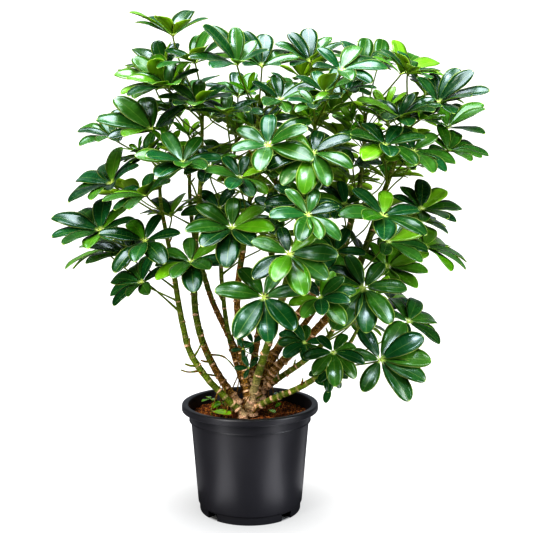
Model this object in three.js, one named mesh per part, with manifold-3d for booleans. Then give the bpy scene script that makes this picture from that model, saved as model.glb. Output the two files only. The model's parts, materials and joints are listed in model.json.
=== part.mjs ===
// An umbrella plant in a black nursery pot, at its real size, in millimetres, with +Z up.
// The origin is the middle of the pot's underside, on the floor. The front of the plant faces -Y.
// Bare woody stems stand in holes in the potting mix. Each carries one green leafy shoot, and every
// leaf is a petiole with four to six leaflets round its hub, like the ribs of an umbrella. A real leaf
// has some more, which are left to the looks.
import * as THREE from "three";
import { mergeVertices } from "three/addons/utils/BufferGeometryUtils.js";
import Module from "manifold-3d";

const wasm = await Module();
wasm.setup();

const DEG = Math.PI / 180;
const GAP = 0.3; // air left between two pieces that touch
const UP = new THREE.Vector3(0, 0, 1);

// The pot: a moulded tub with a rolled rim, a band under it and a notched foot.
const RIM_RADIUS = 120;
const RIM_UNDERSIDE_Z = 177;
const RIM_ROUNDING = 2.5;
const POT_HEIGHT = 189;
const MOUTH_RADIUS = 109;
const BAND_RADIUS = 107; // outside of the band, at its lower edge
const BAND_FOOT_Z = 159;
const BODY_TOP_RADIUS = 104;
const BODY_FOOT_RADIUS = 92;
const FOOT_RADIUS = 89;
const FOOT_HEIGHT = 15;
const FOOT_RING = 6; // how wide the ring is that the pot stands on
const WALL = 2.2;
const MIDDLE_PAD_RADIUS = 55; // the flat middle of the underside, which rests with the foot
const CHANNEL_Z = 3; // underside of the floor between that pad and the foot
const FLOOR_TOP_Z = 6;
const POT_SIDES = 24;
const NOTCHES = 4;
const NOTCH_WIDTH = 22;
const NOTCH_HEIGHT = 12;

// The potting mix: level with the band's middle at the wall, and a little higher round the stems.
const MIX_EDGE_Z = 168;
const MIX_MIDDLE_Z = 172;
const MIX_LUMP = 1.2; // how far its surface rises and falls
const STEM_DEPTH = 58; // how far a stem goes on down from the start of its route

// Where things stand on the plant is read from a straight-on picture of it, 533 points square:
// a place is [across, down, depth], with the depth in millimetres behind the pot's axis.
const EYE = new THREE.Vector3(29, -1370, 539);
const EYE_TILT = 4.6 * DEG; // how far the eye looks down
const FOCAL = 788; // in points of the picture
const PICTURE_MIDDLE = 266.5;

// Leaves. A leaf row is [across, down, depth, length of its leaflets in mm, number of leaflets].
const HUB_RADIUS = 4.2;
const HUB_HALF_HEIGHT = 2.2;
const BLADE_HALF_THICKNESS = 0.8; // at the midrib, where a leaflet is thickest
const BLADE_HALF_WIDTH = 0.21; // as a share of the leaflet's length
const PETIOLE_RADIUS = 1.5;
const PETIOLE_SIDES = 3;
const FEWEST_LEAFLETS = 4;
const CLEARANCE = 2.3; // between the middle surfaces of two blades, their thickness included
const CROWN = { middle: new THREE.Vector3(25, 10, 590), half: new THREE.Vector3(385, 320, 280) };
const LOWEST_HUB = 425;

// Stems from the left round to the back, each [across, down, depth] upwards: bare wood from the
// mix, or from inside the stem that it branches off, then the green shoot. Radii are at its start,
// at the shoot's foot and at its tip. A stem has the leaves of its list, and `more` leaves where
// there is room beside its shoot.
const STEMS = [
  {
    name: "left_outer",
    radii: [8, 6.4, 2.8],
    wood: [[243, 416, -52], [227, 399, -55], [207, 378, -56], [190, 352, -54]],
    shoot: [[183, 326, -48], [178, 300, -42], [175, 280, -36], [171, 257, -30], [166, 232, -25],
      [161, 205, -20], [160, 180, -14], [163, 158, -8]],
    leaves: [[142, 283, -40, 76, 5], [128, 254, 20, 92, 5], [145, 241, -105, 84, 6],
      [101, 231, -30, 92, 5], [104, 249, 70, 92, 5], [147, 196, -70, 82, 6], [112, 184, 0, 94, 5],
      [148, 156, 45, 76, 5]],
    more: 3,
  },
  {
    name: "left_inner",
    radii: [9, 6.8, 2.8],
    wood: [[236, 402, 8], [227, 388, 8], [213, 365, 10], [202, 340, 10], [196, 315, 6], [194, 290, 2]],
    shoot: [[194, 264, 0], [196, 235, -5], [199, 205, -10], [201, 170, -10], [202, 135, -8],
      [203, 102, -5]],
    leaves: [[191, 262, -130, 76, 6], [183, 163, -125, 84, 6], [153, 131, -35, 100, 5],
      [176, 113, 60, 78, 5], [198, 104, -80, 80, 6], [165, 88, -25, 94, 5], [195, 63, -50, 86, 5],
      [173, 36, 10, 90, 6], [190, 92, 95, 76, 5]],
    more: 5,
  },
  {
    name: "slender",
    radii: [5.6, 4.6, 2.4],
    wood: [[246, 399, 38], [238, 370, 38], [231, 345, 38], [226, 320, 42]],
    shoot: [[223, 295, 46], [221, 265, 52], [223, 235, 58], [228, 200, 62], [233, 165, 62],
      [237, 128, 60]],
    leaves: [[210, 166, -100, 60, 5], [227, 115, -95, 76, 6], [238, 97, 70, 72, 5],
      [216, 205, 120, 80, 5]],
    more: 6,
  },
  {
    name: "middle",
    branchOf: "front",
    radii: [8, 6.6, 2.8],
    wood: [[250.5, 408, -32], [247, 390, -20], [243, 360, -8], [239, 330, -2], [237, 300, 0]],
    shoot: [[239, 275, -4], [243, 250, -10], [248, 215, -20], [252, 180, -25], [256, 145, -25],
      [259, 105, -20]],
    leaves: [[232, 228, -160, 88, 6], [240, 178, -150, 66, 6], [268, 146, -175, 86, 6],
      [262, 67, -20, 78, 5], [288, 91, 50, 62, 5]],
    more: 6,
  },
  {
    name: "front",
    radii: [12.6, 8, 3],
    wood: [[249.5, 415, -27], [254, 390, -42], [262, 362, -62], [272, 332, -78]],
    shoot: [[281, 302, -90], [288, 275, -95], [296, 245, -95], [304, 210, -90], [310, 175, -80],
      [314, 140, -65], [316, 112, -50]],
    leaves: [[264, 297, -205, 84, 6], [320, 298, -215, 64, 6], [289, 254, -225, 80, 6],
      [308, 215, -245, 68, 6], [313, 153, -200, 80, 6], [314, 105, -140, 56, 5],
      [324, 93, -75, 80, 6], [310, 62, 5, 76, 5]],
    more: 4,
  },
  {
    name: "low_right",
    branchOf: "front",
    radii: [7.4, 5.6, 2.6],
    wood: [[251, 410, -31], [270, 400, -46], [292, 391, -62]],
    shoot: [[311, 381, -75], [328, 367, -85], [345, 350, -92], [357, 330, -94], [364, 310, -90]],
    leaves: [[380, 360, -105, 88, 6], [333, 352, -150, 60, 5], [364, 288, -180, 86, 6],
      [408, 322, -20, 78, 5], [327, 371, -122, 40, 5]],
    more: 0,
  },
  {
    name: "mid_right",
    branchOf: "right_inner",
    radii: [7.4, 5.4, 2.6],
    wood: [[260.5, 391, 27], [276, 380, 12], [297, 366, 0]],
    shoot: [[317, 350, -16], [334, 328, -34], [345, 302, -44], [350, 278, -44]],
    leaves: [[305, 343, -90, 54, 5], [352, 322, 70, 80, 5], [390, 300, 70, 78, 5],
      [335, 252, -110, 70, 5]],
    more: 3,
  },
  {
    name: "right_outer",
    branchOf: "right_inner",
    radii: [9.5, 7, 2.8],
    wood: [[263, 384, 32], [282, 362, 34], [308, 338, 24], [332, 312, 6], [350, 286, -6]],
    shoot: [[362, 258, -16], [372, 230, -22], [382, 198, -26], [393, 168, -28], [402, 142, -24],
      [410, 122, -15]],
    leaves: [[383, 216, -190, 84, 6], [421, 210, -30, 78, 5], [424, 247, 0, 92, 5],
      [385, 146, -135, 84, 6], [413, 151, -105, 76, 6], [410, 166, 60, 74, 5],
      [400, 118, -75, 86, 6], [447, 128, 0, 80, 5], [425, 95, 25, 80, 5]],
    more: 5,
  },
  {
    name: "right_inner",
    radii: [10, 7.4, 2.8],
    wood: [[259, 396, 24], [267, 370, 40], [280, 345, 54], [298, 315, 64], [316, 290, 62]],
    shoot: [[331, 265, 52], [345, 238, 38], [355, 208, 24], [361, 176, 12], [364, 146, 6],
      [365, 115, 4]],
    leaves: [[353, 167, -75, 64, 5], [347, 91, -30, 72, 5], [362, 68, 0, 74, 5], [378, 66, 85, 70, 5],
      [345, 205, -70, 72, 5]],
    more: 8,
  },
  {
    name: "back_left",
    branchOf: "back_middle",
    radii: [7.4, 5.8, 2.6],
    wood: [[251.5, 384, 86], [240, 358, 98], [226, 330, 122], [212, 300, 146]],
    shoot: [[202, 268, 164], [194, 235, 176], [190, 200, 180], [190, 165, 176], [194, 132, 168]],
    leaves: [],
    more: 7,
  },
  {
    name: "back_middle",
    radii: [9, 6, 2.6],
    wood: [[250, 395, 80], [254, 360, 104], [260, 325, 134], [267, 290, 160]],
    shoot: [[272, 255, 180], [275, 220, 194], [276, 185, 200], [275, 150, 198], [274, 118, 192]],
    leaves: [],
    more: 8,
  },
  {
    name: "back_right",
    branchOf: "back_middle",
    radii: [7.4, 5.8, 2.6],
    wood: [[252.5, 376, 92], [272, 353, 102], [296, 334, 122], [318, 304, 142]],
    shoot: [[336, 272, 156], [348, 238, 164], [356, 203, 166], [362, 170, 162], [366, 140, 154]],
    leaves: [],
    more: 7,
  },
];

// Seedlings in the mix: where each comes up, and its leaves, in leaf rows.
const SEEDLING_STEM_RADIUS = 1.6;
const SEEDLING_DEPTH = 8;
const SEEDLINGS = [
  { name: "seedling_left", root: [217, 408, 12], leaves: [[211, 399, 6, 17, 4], [224, 404, -8, 20, 4]] },
  { name: "seedling_right", root: [276, 401, 52], leaves: [[279, 394, 48, 17, 4]] },
];

const BARK = new THREE.MeshStandardMaterial({ color: 0x7a6443, roughness: 0.8, metalness: 0 });
const LEAF = new THREE.MeshStandardMaterial({ color: 0x1f5a22, roughness: 0.35, metalness: 0 });
const YOUNG_LEAF = new THREE.MeshStandardMaterial({ color: 0x4f9a2c, roughness: 0.45, metalness: 0 });
const POT_PLASTIC = new THREE.MeshStandardMaterial({ color: 0x232326, roughness: 0.5, metalness: 0 });
const POTTING_MIX = new THREE.MeshStandardMaterial({ color: 0x5a3218, roughness: 0.95, metalness: 0 });

// ---------------------------------------------------------------- solids

// A closed mesh, from points and triangles, as a solid with its faces pointing out.
function solid(points, triangles) {
  const vertProperties = new Float32Array(points.flatMap((p) => [p.x, p.y, p.z]));
  const make = (list) =>
    new wasm.Manifold(new wasm.Mesh({ numProp: 3, vertProperties, triVerts: new Uint32Array(list.flat()) }));
  const made = make(triangles);
  return made.volume() > 0 ? made : make(triangles.map(([a, b, c]) => [a, c, b]));
}

function solidOf(geometry) {
  geometry.deleteAttribute("normal");
  geometry.deleteAttribute("uv");
  const merged = mergeVertices(geometry, 1e-3);
  const position = merged.getAttribute("position");
  const points = Array.from({ length: position.count }, (_, i) =>
    new THREE.Vector3().fromBufferAttribute(position, i));
  const index = merged.index.array;
  const triangles = [];
  for (let i = 0; i < index.length; i += 3) triangles.push([index[i], index[i + 1], index[i + 2]]);
  return solid(points, triangles.filter(([a, b, c]) => a !== b && b !== c && a !== c));
}

function meshOf(name, body, material) {
  const made = body.getMesh();
  const geometry = new THREE.BufferGeometry();
  geometry.setAttribute("position", new THREE.BufferAttribute(new Float32Array(made.vertProperties), 3));
  geometry.setIndex(new THREE.BufferAttribute(new Uint32Array(made.triVerts), 1));
  geometry.computeVertexNormals();
  const mesh = new THREE.Mesh(geometry, material);
  mesh.name = name;
  return mesh;
}

// The corners of one ring of a tube, square to the way that the tube runs there.
function ring(centre, along, radius, sides, side) {
  const across = new THREE.Vector3().crossVectors(along, side).normalize();
  const other = new THREE.Vector3().crossVectors(across, along).normalize();
  return Array.from({ length: sides }, (_, i) => {
    const turn = (2 * Math.PI * i) / sides;
    return centre.clone()
      .addScaledVector(across, radius * Math.cos(turn))
      .addScaledVector(other, radius * Math.sin(turn));
  });
}

// Triangles between two rings, whose first corners have these numbers.
function band(first, second, sides) {
  const triangles = [];
  for (let i = 0; i < sides; i++) {
    const j = (i + 1) % sides;
    triangles.push([first + i, first + j, second + j], [first + i, second + j, second + i]);
  }
  return triangles;
}

// A tapering tube through rings of corners, closed at both ends.
function tube(rings) {
  const sides = rings[0].length;
  const points = rings.flat();
  const triangles = rings.slice(1).flatMap((_, k) => band(k * sides, (k + 1) * sides, sides));
  const last = points.length - sides;
  for (let i = 1; i < sides - 1; i++) triangles.push([0, i + 1, i], [last, last + i, last + i + 1]);
  return solid(points, triangles);
}

// A turned body round +Z, from its half outline of [radius, height].
function turned(outline) {
  const lathe = new THREE.LatheGeometry(outline.map(([r, z]) => new THREE.Vector2(r, z)), POT_SIDES);
  return solidOf(lathe.rotateX(Math.PI / 2));
}

// ---------------------------------------------------------------- places and draws

// The point that shows at this place of the picture, at this depth.
function place([across, down, depth]) {
  const right = (across - PICTURE_MIDDLE) / FOCAL;
  const drop = (down - PICTURE_MIDDLE) / FOCAL;
  const sight = new THREE.Vector3(
    right,
    Math.cos(EYE_TILT) - drop * Math.sin(EYE_TILT),
    -Math.sin(EYE_TILT) - drop * Math.cos(EYE_TILT),
  );
  return EYE.clone().addScaledVector(sight, (depth - EYE.y) / sight.y);
}

// Seeded draws from 0 to 1, the same in every run.
function seeded(seed) {
  let state = seed >>> 0;
  return () => {
    state = (state + 0x6d2b79f5) >>> 0;
    let mixed = Math.imul(state ^ (state >>> 15), 1 | state);
    mixed = (mixed + Math.imul(mixed ^ (mixed >>> 7), 61 | mixed)) ^ mixed;
    return ((mixed ^ (mixed >>> 14)) >>> 0) / 4294967296;
  };
}
const draw = seeded(7);
const spread = (reach) => (draw() * 2 - 1) * reach;

// ---------------------------------------------------------------- room between pieces

// Shortest distance between the segments ab and cd.
function segmentGap(a, b, c, d) {
  const u = b.clone().sub(a);
  const v = d.clone().sub(c);
  const w = a.clone().sub(c);
  const uu = u.dot(u);
  const uv = u.dot(v);
  const vv = v.dot(v);
  const uw = u.dot(w);
  const vw = v.dot(w);
  const slack = uu * vv - uv * uv;
  let s = slack > 1e-9 ? THREE.MathUtils.clamp((uv * vw - vv * uw) / slack, 0, 1) : 0;
  const t = THREE.MathUtils.clamp(vv > 1e-9 ? (uv * s + vw) / vv : 0, 0, 1);
  s = uu > 1e-9 ? THREE.MathUtils.clamp((uv * t - uw) / uu, 0, 1) : 0;
  return w.addScaledVector(u, s).addScaledVector(v, -t).length();
}

// Shortest distance between the segment ab and a triangle.
const nearest = new THREE.Vector3();
function segmentToFace(a, b, face) {
  const along = b.clone().sub(a);
  const reach = along.length();
  const sight = new THREE.Ray(a, along.divideScalar(reach));
  const hit = sight.intersectTriangle(face.a, face.b, face.c, false, nearest);
  if (hit && hit.distanceTo(a) <= reach) return 0;
  return Math.min(
    face.closestPointToPoint(a, nearest).distanceTo(a),
    face.closestPointToPoint(b, nearest).distanceTo(b),
    segmentGap(a, b, face.a, face.b),
    segmentGap(a, b, face.b, face.c),
    segmentGap(a, b, face.c, face.a),
  );
}

// What is already there: rods for stems and petioles, and blades, each with a ball round it.
const rods = [];
const blades = [];

const ballRound = (points) => new THREE.Box3().setFromPoints(points).getBoundingSphere(new THREE.Sphere());
const near = (one, other, room) =>
  one.center.distanceTo(other.center) < one.radius + other.radius + room;

function rodsAlong(points, radii, owner) {
  return points.slice(1).map((to, i) => {
    const from = points[i];
    const radius = Math.max(radii[i], radii[i + 1]);
    const middle = from.clone().lerp(to, 0.5);
    return { from, to, radius, owner, ball: new THREE.Sphere(middle, from.distanceTo(to) / 2 + radius) };
  });
}

// A blade's faces are all corners of its outline joined to its middle, so these are all its edges.
const edgesOf = (faces) => faces.flatMap((face) => [[face.a, face.b], [face.b, face.c]]);

function facesCross(faces, others, room) {
  const oneWay = (some, rest) =>
    some.some((face) => edgesOf(rest).some(([a, b]) => segmentToFace(a, b, face) < room));
  return oneWay(faces, others) || oneWay(others, faces);
}

function bladeIsClear(blade) {
  const meetsRod = (rod) => near(blade.ball, rod.ball, CLEARANCE) &&
    blade.faces.some((face) => segmentToFace(rod.from, rod.to, face) < rod.radius + CLEARANCE);
  const meetsBlade = (other) => near(blade.ball, other.ball, CLEARANCE) &&
    facesCross(blade.faces, other.faces, CLEARANCE);
  return !rods.some((rod) => rod.owner !== blade.leaf && meetsRod(rod)) &&
    !blade.leaf.stalk.some(meetsRod) && !blades.some(meetsBlade);
}

// ---------------------------------------------------------------- leaves

// A leaflet runs from the hub to its tip. Past the middle it bends down, and its halves rise a
// little from the midrib. The shares are of its length.
const SHOULDER = { along: 0.42, across: 0.72 };
const WIDEST = { along: 0.76, across: 0.98 };
const MIDDLE = 0.57;

function bladeAt(leaf, turn, lift, length) {
  const outward = leaf.distal.clone().applyAxisAngle(leaf.normal, turn);
  const sideways = new THREE.Vector3().crossVectors(leaf.normal, outward);
  const heading = (angle) =>
    outward.clone().multiplyScalar(Math.cos(angle)).addScaledVector(leaf.normal, Math.sin(angle));
  const inner = heading(lift);
  const outer = heading(lift - leaf.droop);
  const rise = heading(lift + Math.PI / 2).multiplyScalar(leaf.fold);
  const middle = leaf.hub.clone().addScaledVector(inner, MIDDLE * length);
  const halfWidth = BLADE_HALF_WIDTH * length;
  const edge = ({ along, across }, side) => {
    const onRib = along < MIDDLE
      ? leaf.hub.clone().addScaledVector(inner, along * length)
      : middle.clone().addScaledVector(outer, (along - MIDDLE) * length);
    return onRib.addScaledVector(sideways, side * across * halfWidth)
      .addScaledVector(rise, across * halfWidth);
  };
  const tip = middle.clone().addScaledVector(outer, (1 - MIDDLE) * length);
  const left = [edge(SHOULDER, 1), edge(WIDEST, 1)];
  const right = [edge(SHOULDER, -1), edge(WIDEST, -1)];
  const outline = [leaf.hub, left[0], left[1], tip, right[1], right[0]];
  const faces = outline.map((p, i) => new THREE.Triangle(p, outline[(i + 1) % outline.length], middle));
  return { leaf, turn, middle, tip, left, right, faces, ball: ballRound(outline) };
}

// The ways in which a leaflet may be set, from the one it takes by itself to the most bent.
const BENDS = [0, 11, -11, 22, -22, 34, -34, 46];
const SHARES = [1, 0.88, 0.76, 0.64];
const SWINGS = [0, 4, -4, 8, -8];
function settings(leaf, index) {
  const turn = (index * 2 * Math.PI) / leaf.count + spread(2.5 * DEG);
  const lift = leaf.lift + spread(11 * DEG);
  const length = leaf.length * (0.85 + 0.17 * Math.cos(turn)) * (1 + spread(0.05));
  const ways = SHARES.flatMap((share) => BENDS.flatMap((bend) => SWINGS.map((swing) => ({
    turn: turn + swing * DEG,
    lift: lift + bend * DEG,
    length: length * share,
    strain: Math.abs(bend) + Math.abs(swing) + 90 * (1 - share),
  }))));
  return ways.sort((one, other) => one.strain - other.strain);
}

// Neighbours round one hub meet at it, so only their outer faces have to keep apart.
function siblingsAreClear(blade, siblings) {
  const outer = (faces) => faces.filter((face) => face.a !== blade.leaf.hub && face.b !== blade.leaf.hub);
  return siblings.every((other) => !facesCross(outer(blade.faces), outer(other.faces), CLEARANCE * 0.8));
}

// A leaf's leaflets, each bent clear of what is there, or left out if it can't be.
function growBlades(leaf) {
  const grown = [];
  for (let i = 0; i < leaf.count; i++) {
    for (const { turn, lift, length } of settings(leaf, i)) {
      const blade = bladeAt(leaf, turn, lift, length);
      if (!bladeIsClear(blade) || !siblingsAreClear(blade, grown)) continue;
      grown.push(blade);
      break;
    }
  }
  if (grown.length >= FEWEST_LEAFLETS) blades.push(...grown);
  return grown;
}

// One leaf as a closed mesh: the hub's top, its leaflets' two faces, and the petiole below.
function leafSolid(leaf) {
  const points = [];
  const triangles = [];
  const add = (p) => points.push(p) - 1;
  const count = leaf.leaflets.length;
  const thick = leaf.normal.clone().multiplyScalar(BLADE_HALF_THICKNESS * leaf.slight);
  const crown = add(leaf.hub.clone().addScaledVector(leaf.normal, HUB_HALF_HEIGHT * leaf.slight));
  const turnOf = (i) => leaf.leaflets[(i + count) % count].turn + (i < 0 ? -2 * Math.PI : 0);
  const notches = leaf.leaflets.map((_, i) => {
    const turn = (turnOf(i - 1) + turnOf(i)) / 2;
    const outward = leaf.distal.clone().applyAxisAngle(leaf.normal, turn);
    return add(leaf.hub.clone().addScaledVector(outward, HUB_RADIUS * leaf.slight));
  });
  const under = []; // the lower face's way round the hub: notch, midrib, notch, midrib...
  leaf.leaflets.forEach((blade, i) => {
    const [root, nextRoot] = [notches[i], notches[(i + 1) % count]];
    const outline = [root, ...blade.right.map(add), add(blade.tip), ...blade.left.toReversed().map(add),
      nextRoot];
    const top = add(blade.middle.clone().add(thick));
    const bottom = add(blade.middle.clone().sub(thick));
    triangles.push([crown, root, top], [crown, top, nextRoot]);
    for (let k = 1; k < outline.length; k++)
      triangles.push([outline[k - 1], outline[k], top], [outline[k], outline[k - 1], bottom]);
    under.push(root, bottom);
  });
  const rings = leaf.petiole.map(({ at, along, radius }) =>
    ring(at, along, radius, PETIOLE_SIDES, leaf.distal).map(add));
  triangles.push(...collar(under, rings[0], points, leaf));
  for (let k = 1; k < rings.length; k++)
    triangles.push(...band(rings[k][0], rings[k - 1][0], PETIOLE_SIDES));
  const end = rings.at(-1);
  triangles.push([end[0], end[2], end[1]]);
  return solid(points, triangles);
}

// Triangles from a wide way round the hub to a narrow one, taking the next corner of either in turn.
function collar(wide, narrow, points, leaf) {
  const side = new THREE.Vector3().crossVectors(leaf.normal, leaf.distal);
  const angle = (p) => {
    const from = points[p].clone().sub(leaf.hub);
    return (Math.atan2(from.dot(side), from.dot(leaf.distal)) + 4 * Math.PI) % (2 * Math.PI);
  };
  const inOrder = (list) => list.map((p) => [angle(p), p]).sort((one, other) => one[0] - other[0]);
  const [outer, inner] = [inOrder(wide), inOrder(narrow)];
  const nextAngle = (list, i) =>
    i >= list.length ? Infinity : list[(i + 1) % list.length][0] + (i + 1 >= list.length ? 2 * Math.PI : 0);
  const corner = (list, i) => list[i % list.length][1];
  const triangles = [];
  let [i, k] = [0, 0];
  while (i < outer.length || k < inner.length) {
    const outerIsNext = nextAngle(outer, i) <= nextAngle(inner, k);
    const third = outerIsNext ? corner(outer, i + 1) : corner(inner, k + 1);
    triangles.push([corner(outer, i), corner(inner, k), third]);
    if (outerIsNext) i += 1;
    else k += 1;
  }
  return triangles;
}

// How a leaf sits: the higher it is, the flatter its umbrella lies and the more its leaflets rise.
// Leaves lean outward, least to the left and right, and those in front of the crown's back lean to
// the light at the front too.
const LOW_LEAF = { z: 230, lean: 1.3, lift: 12, droop: 34 };
const HIGH_LEAF = { z: 830, lean: 0.3, lift: 36, droop: 26 };
const LEAN = new THREE.Vector3(0.6, 1, 0);
const LIGHT = { way: new THREE.Vector3(0, -0.5, 0), fullAt: 60, noneAt: 200 };
function poseLeaf(hub, length, count, slight = 1) {
  const height = THREE.MathUtils.clamp((hub.z - LOW_LEAF.z) / (HIGH_LEAF.z - LOW_LEAF.z), 0, 1);
  const between = (trait) => THREE.MathUtils.lerp(LOW_LEAF[trait], HIGH_LEAF[trait], height);
  const outward = hub.clone().sub(CROWN.middle).divide(CROWN.half).multiply(LEAN);
  const wobble = new THREE.Vector3(spread(0.25), spread(0.2), 0);
  const lit = 1 - THREE.MathUtils.smoothstep(hub.y, LIGHT.fullAt, LIGHT.noneAt);
  const normal = UP.clone().addScaledVector(outward, between("lean"))
    .addScaledVector(LIGHT.way, lit).add(wobble).normalize();
  return {
    hub, length, count, slight, normal,
    lift: between("lift") * DEG,
    droop: (between("droop") + spread(8)) * DEG,
    fold: 0.2 + spread(0.06),
  };
}

// Where on its shoot a leaf's petiole starts: below the hub, by a share of how far out it is.
const PETIOLE_RISE = 0.55;
const PETIOLE_SPACING = 9; // along the shoot
const SHOOT_STEPS = 90;
function attach(leaf, shootAt, taken) {
  let best = { cost: Infinity };
  for (let i = 4; i < SHOOT_STEPS; i++) {
    const share = i / SHOOT_STEPS;
    const at = shootAt(share);
    const out = Math.hypot(leaf.hub.x - at.x, leaf.hub.y - at.y);
    const crowded = taken.some((other) => other.distanceTo(at) < PETIOLE_SPACING) ? 40 : 0;
    const tooHigh = Math.abs(at.z - (leaf.hub.z - PETIOLE_RISE * out));
    const cost = tooHigh + 0.35 * at.distanceTo(leaf.hub) + crowded;
    if (cost < best.cost) best = { cost, at, share };
  }
  taken.push(best.at);
  return best;
}

// A petiole leaves the shoot, runs past whatever is in its way and comes up into the hub from below.
const DETOURS = [0, 10, -10, 20, -20, 32, -32];
const ROOT_ROOM = 13; // petioles of one shoot may meet this near to their roots
const HUB_ROOM = 16; // a leaf's own blades come nearer to its petiole only this near to the hub
function petioleAlong(leaf, from, shootWay, sideStep, upStep) {
  const reach = from.distanceTo(leaf.hub);
  const away = leaf.hub.clone().sub(from).normalize();
  const side = new THREE.Vector3().crossVectors(away, UP).normalize();
  const over = new THREE.Vector3().crossVectors(side, away);
  const top = leaf.hub.clone().addScaledVector(leaf.normal, -HUB_HALF_HEIGHT * leaf.slight);
  const aside = new THREE.Vector3().addScaledVector(side, sideStep).addScaledVector(over, upStep);
  const first = from.clone().addScaledVector(away, 0.3 * reach)
    .addScaledVector(shootWay, 0.12 * reach).add(aside);
  const second = top.clone().addScaledVector(leaf.normal, -0.16 * reach)
    .addScaledVector(away, -0.14 * reach).add(aside);
  const curve = new THREE.CubicBezierCurve3(from, first, second, top);
  const shares = reach > 120 ? [1, 0.72, 0.4, 0] : [1, 0.6, 0];
  return shares.map((share) => ({
    at: curve.getPoint(share),
    along: share === 1 ? leaf.normal.clone().negate() : curve.getTangent(share).negate(),
    radius: PETIOLE_RADIUS * leaf.slight * (1.35 - 0.35 * share),
  }));
}

function petioleRoom(petiole, stemName) {
  const points = petiole.map(({ at }) => at);
  const [next, root] = points.slice(-2);
  const beyondRoot = root.clone().lerp(next, Math.min(ROOT_ROOM / root.distanceTo(next), 1));
  const stretches = rodsAlong([...points.slice(0, -1), beyondRoot],
    petiole.map(({ radius }) => radius), null);
  return Math.min(...rods.flatMap((rod) => stretches.map((stretch) =>
    rod.owner === stemName || !near(rod.ball, stretch.ball, 8)
      ? 8 : segmentGap(rod.from, rod.to, stretch.from, stretch.to) - rod.radius - stretch.radius)));
}

const LEAST_ALONG = 0.4; // the least share of a leaf's normal that runs on along its petiole's way
function growPetiole(leaf, from, shootWay, stemName) {
  const away = leaf.hub.clone().sub(from).normalize();
  leaf.normal.addScaledVector(away, Math.max(0, LEAST_ALONG - leaf.normal.dot(away))).normalize();
  leaf.distal = away.addScaledVector(leaf.normal, -away.dot(leaf.normal));
  if (leaf.distal.length() < 0.05) leaf.distal.set(1, 0, 0).addScaledVector(leaf.normal, -leaf.normal.x);
  leaf.distal.normalize();
  const ways = DETOURS.flatMap((up) => DETOURS.map((side) => [side, up]))
    .sort((one, other) => Math.hypot(...one) - Math.hypot(...other));
  let best = { room: -Infinity };
  for (const [side, up] of ways) {
    const petiole = petioleAlong(leaf, from, shootWay, side, up);
    const room = petioleRoom(petiole, stemName);
    if (room > best.room) best = { room, petiole };
    if (room > 1.2) break;
  }
  leaf.petiole = best.petiole;
  const points = leaf.petiole.map(({ at }) => at);
  const radii = leaf.petiole.map(({ radius }) => radius);
  rods.push(...rodsAlong(points, radii, leaf));
  const hubShare = (HUB_ROOM * leaf.slight) / points[0].distanceTo(points[1]);
  const belowHub = points[0].clone().lerp(points[1], hubShare);
  leaf.stalk = rodsAlong([belowHub, ...points.slice(1)], radii, leaf);
}

// A hub in a free place beside the shoot: the emptiest of several, inside the crown.
const TRIES = 48;
const GOLDEN_ANGLE = 137.5 * DEG;
function freeHub(shootAt, index, total, hubs) {
  let best = { value: -Infinity, hub: null };
  for (let i = 0; i < TRIES; i++) {
    const share = 0.08 + 0.9 * ((index + draw()) / total);
    const bearing = index * GOLDEN_ANGLE + spread(Math.PI);
    const reach = 60 + 75 * draw() * (1.2 - share);
    const rise = reach * (0.35 + 0.5 * draw() + 0.5 * share);
    const hub = new THREE.Vector3(Math.cos(bearing) * reach, Math.sin(bearing) * reach, rise)
      .add(shootAt(Math.min(share, 1)));
    const inside = hub.clone().sub(CROWN.middle).divide(CROWN.half).length();
    if (inside > 0.88 || hub.z < LOWEST_HUB) continue;
    const room = Math.min(...hubs.map((other) => other.distanceTo(hub)));
    const value = room + 60 * inside;
    if (value > best.value) best = { value, hub };
  }
  return best.hub;
}

// ---------------------------------------------------------------- stems

const WOOD_SIDES = 7;
const SHOOT_SIDES = 5;
const WOOD_STEP = 40;
const SHOOT_STEP = 55;
const RING_SIDE = new THREE.Vector3(0.3, 1, 0).normalize();

// A stem's route as one curve, with the share of it that is bare wood.
const CURVE_STEPS = 40; // between two points of a route
function routeOf(stem) {
  const wood = stem.wood.map(place);
  const shoot = stem.shoot.map(place);
  if (!stem.branchOf) wood.unshift(wood[0].clone().addScaledVector(UP, -STEM_DEPTH));
  const route = new THREE.CatmullRomCurve3([...wood, ...shoot], false, "centripetal");
  const lengths = route.getLengths((route.points.length - 1) * CURVE_STEPS);
  const woodShare = lengths[wood.length * CURVE_STEPS] / lengths.at(-1);
  const radiusAt = (share) => share < woodShare
    ? THREE.MathUtils.lerp(stem.radii[0], stem.radii[1], share / woodShare)
    : THREE.MathUtils.lerp(stem.radii[1], stem.radii[2], (share - woodShare) / (1 - woodShare));
  const shootShare = (share) => woodShare + (1 - woodShare) * share;
  const shootAt = (share) => route.getPointAt(shootShare(share));
  return { ...stem, route, woodShare, radiusAt, shootShare, shootAt };
}

// Where along a stem its rings lie, as shares of its route: on its bare wood, or on its shoot. A seam
// of half the gap is left on either side of the place where the two meet.
function ringShares(stem, onShoot) {
  const seam = GAP / 2 / stem.route.getLength();
  const [from, to] = onShoot ? [stem.woodShare + seam, 1] : [0, stem.woodShare - seam];
  const step = onShoot ? SHOOT_STEP : WOOD_STEP;
  const steps = Math.max(2, Math.round((stem.route.getLength() * (to - from)) / step));
  return Array.from({ length: steps + 1 }, (_, i) => from + ((to - from) * i) / steps);
}

function stemTube(stem, onShoot, proud = 0) {
  const sides = onShoot ? SHOOT_SIDES : WOOD_SIDES;
  return tube(ringShares(stem, onShoot).map((share) => ring(stem.route.getPointAt(share),
    stem.route.getTangentAt(share), stem.radiusAt(share) + proud, sides, RING_SIDE)));
}

// ---------------------------------------------------------------- pot and mix

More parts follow.
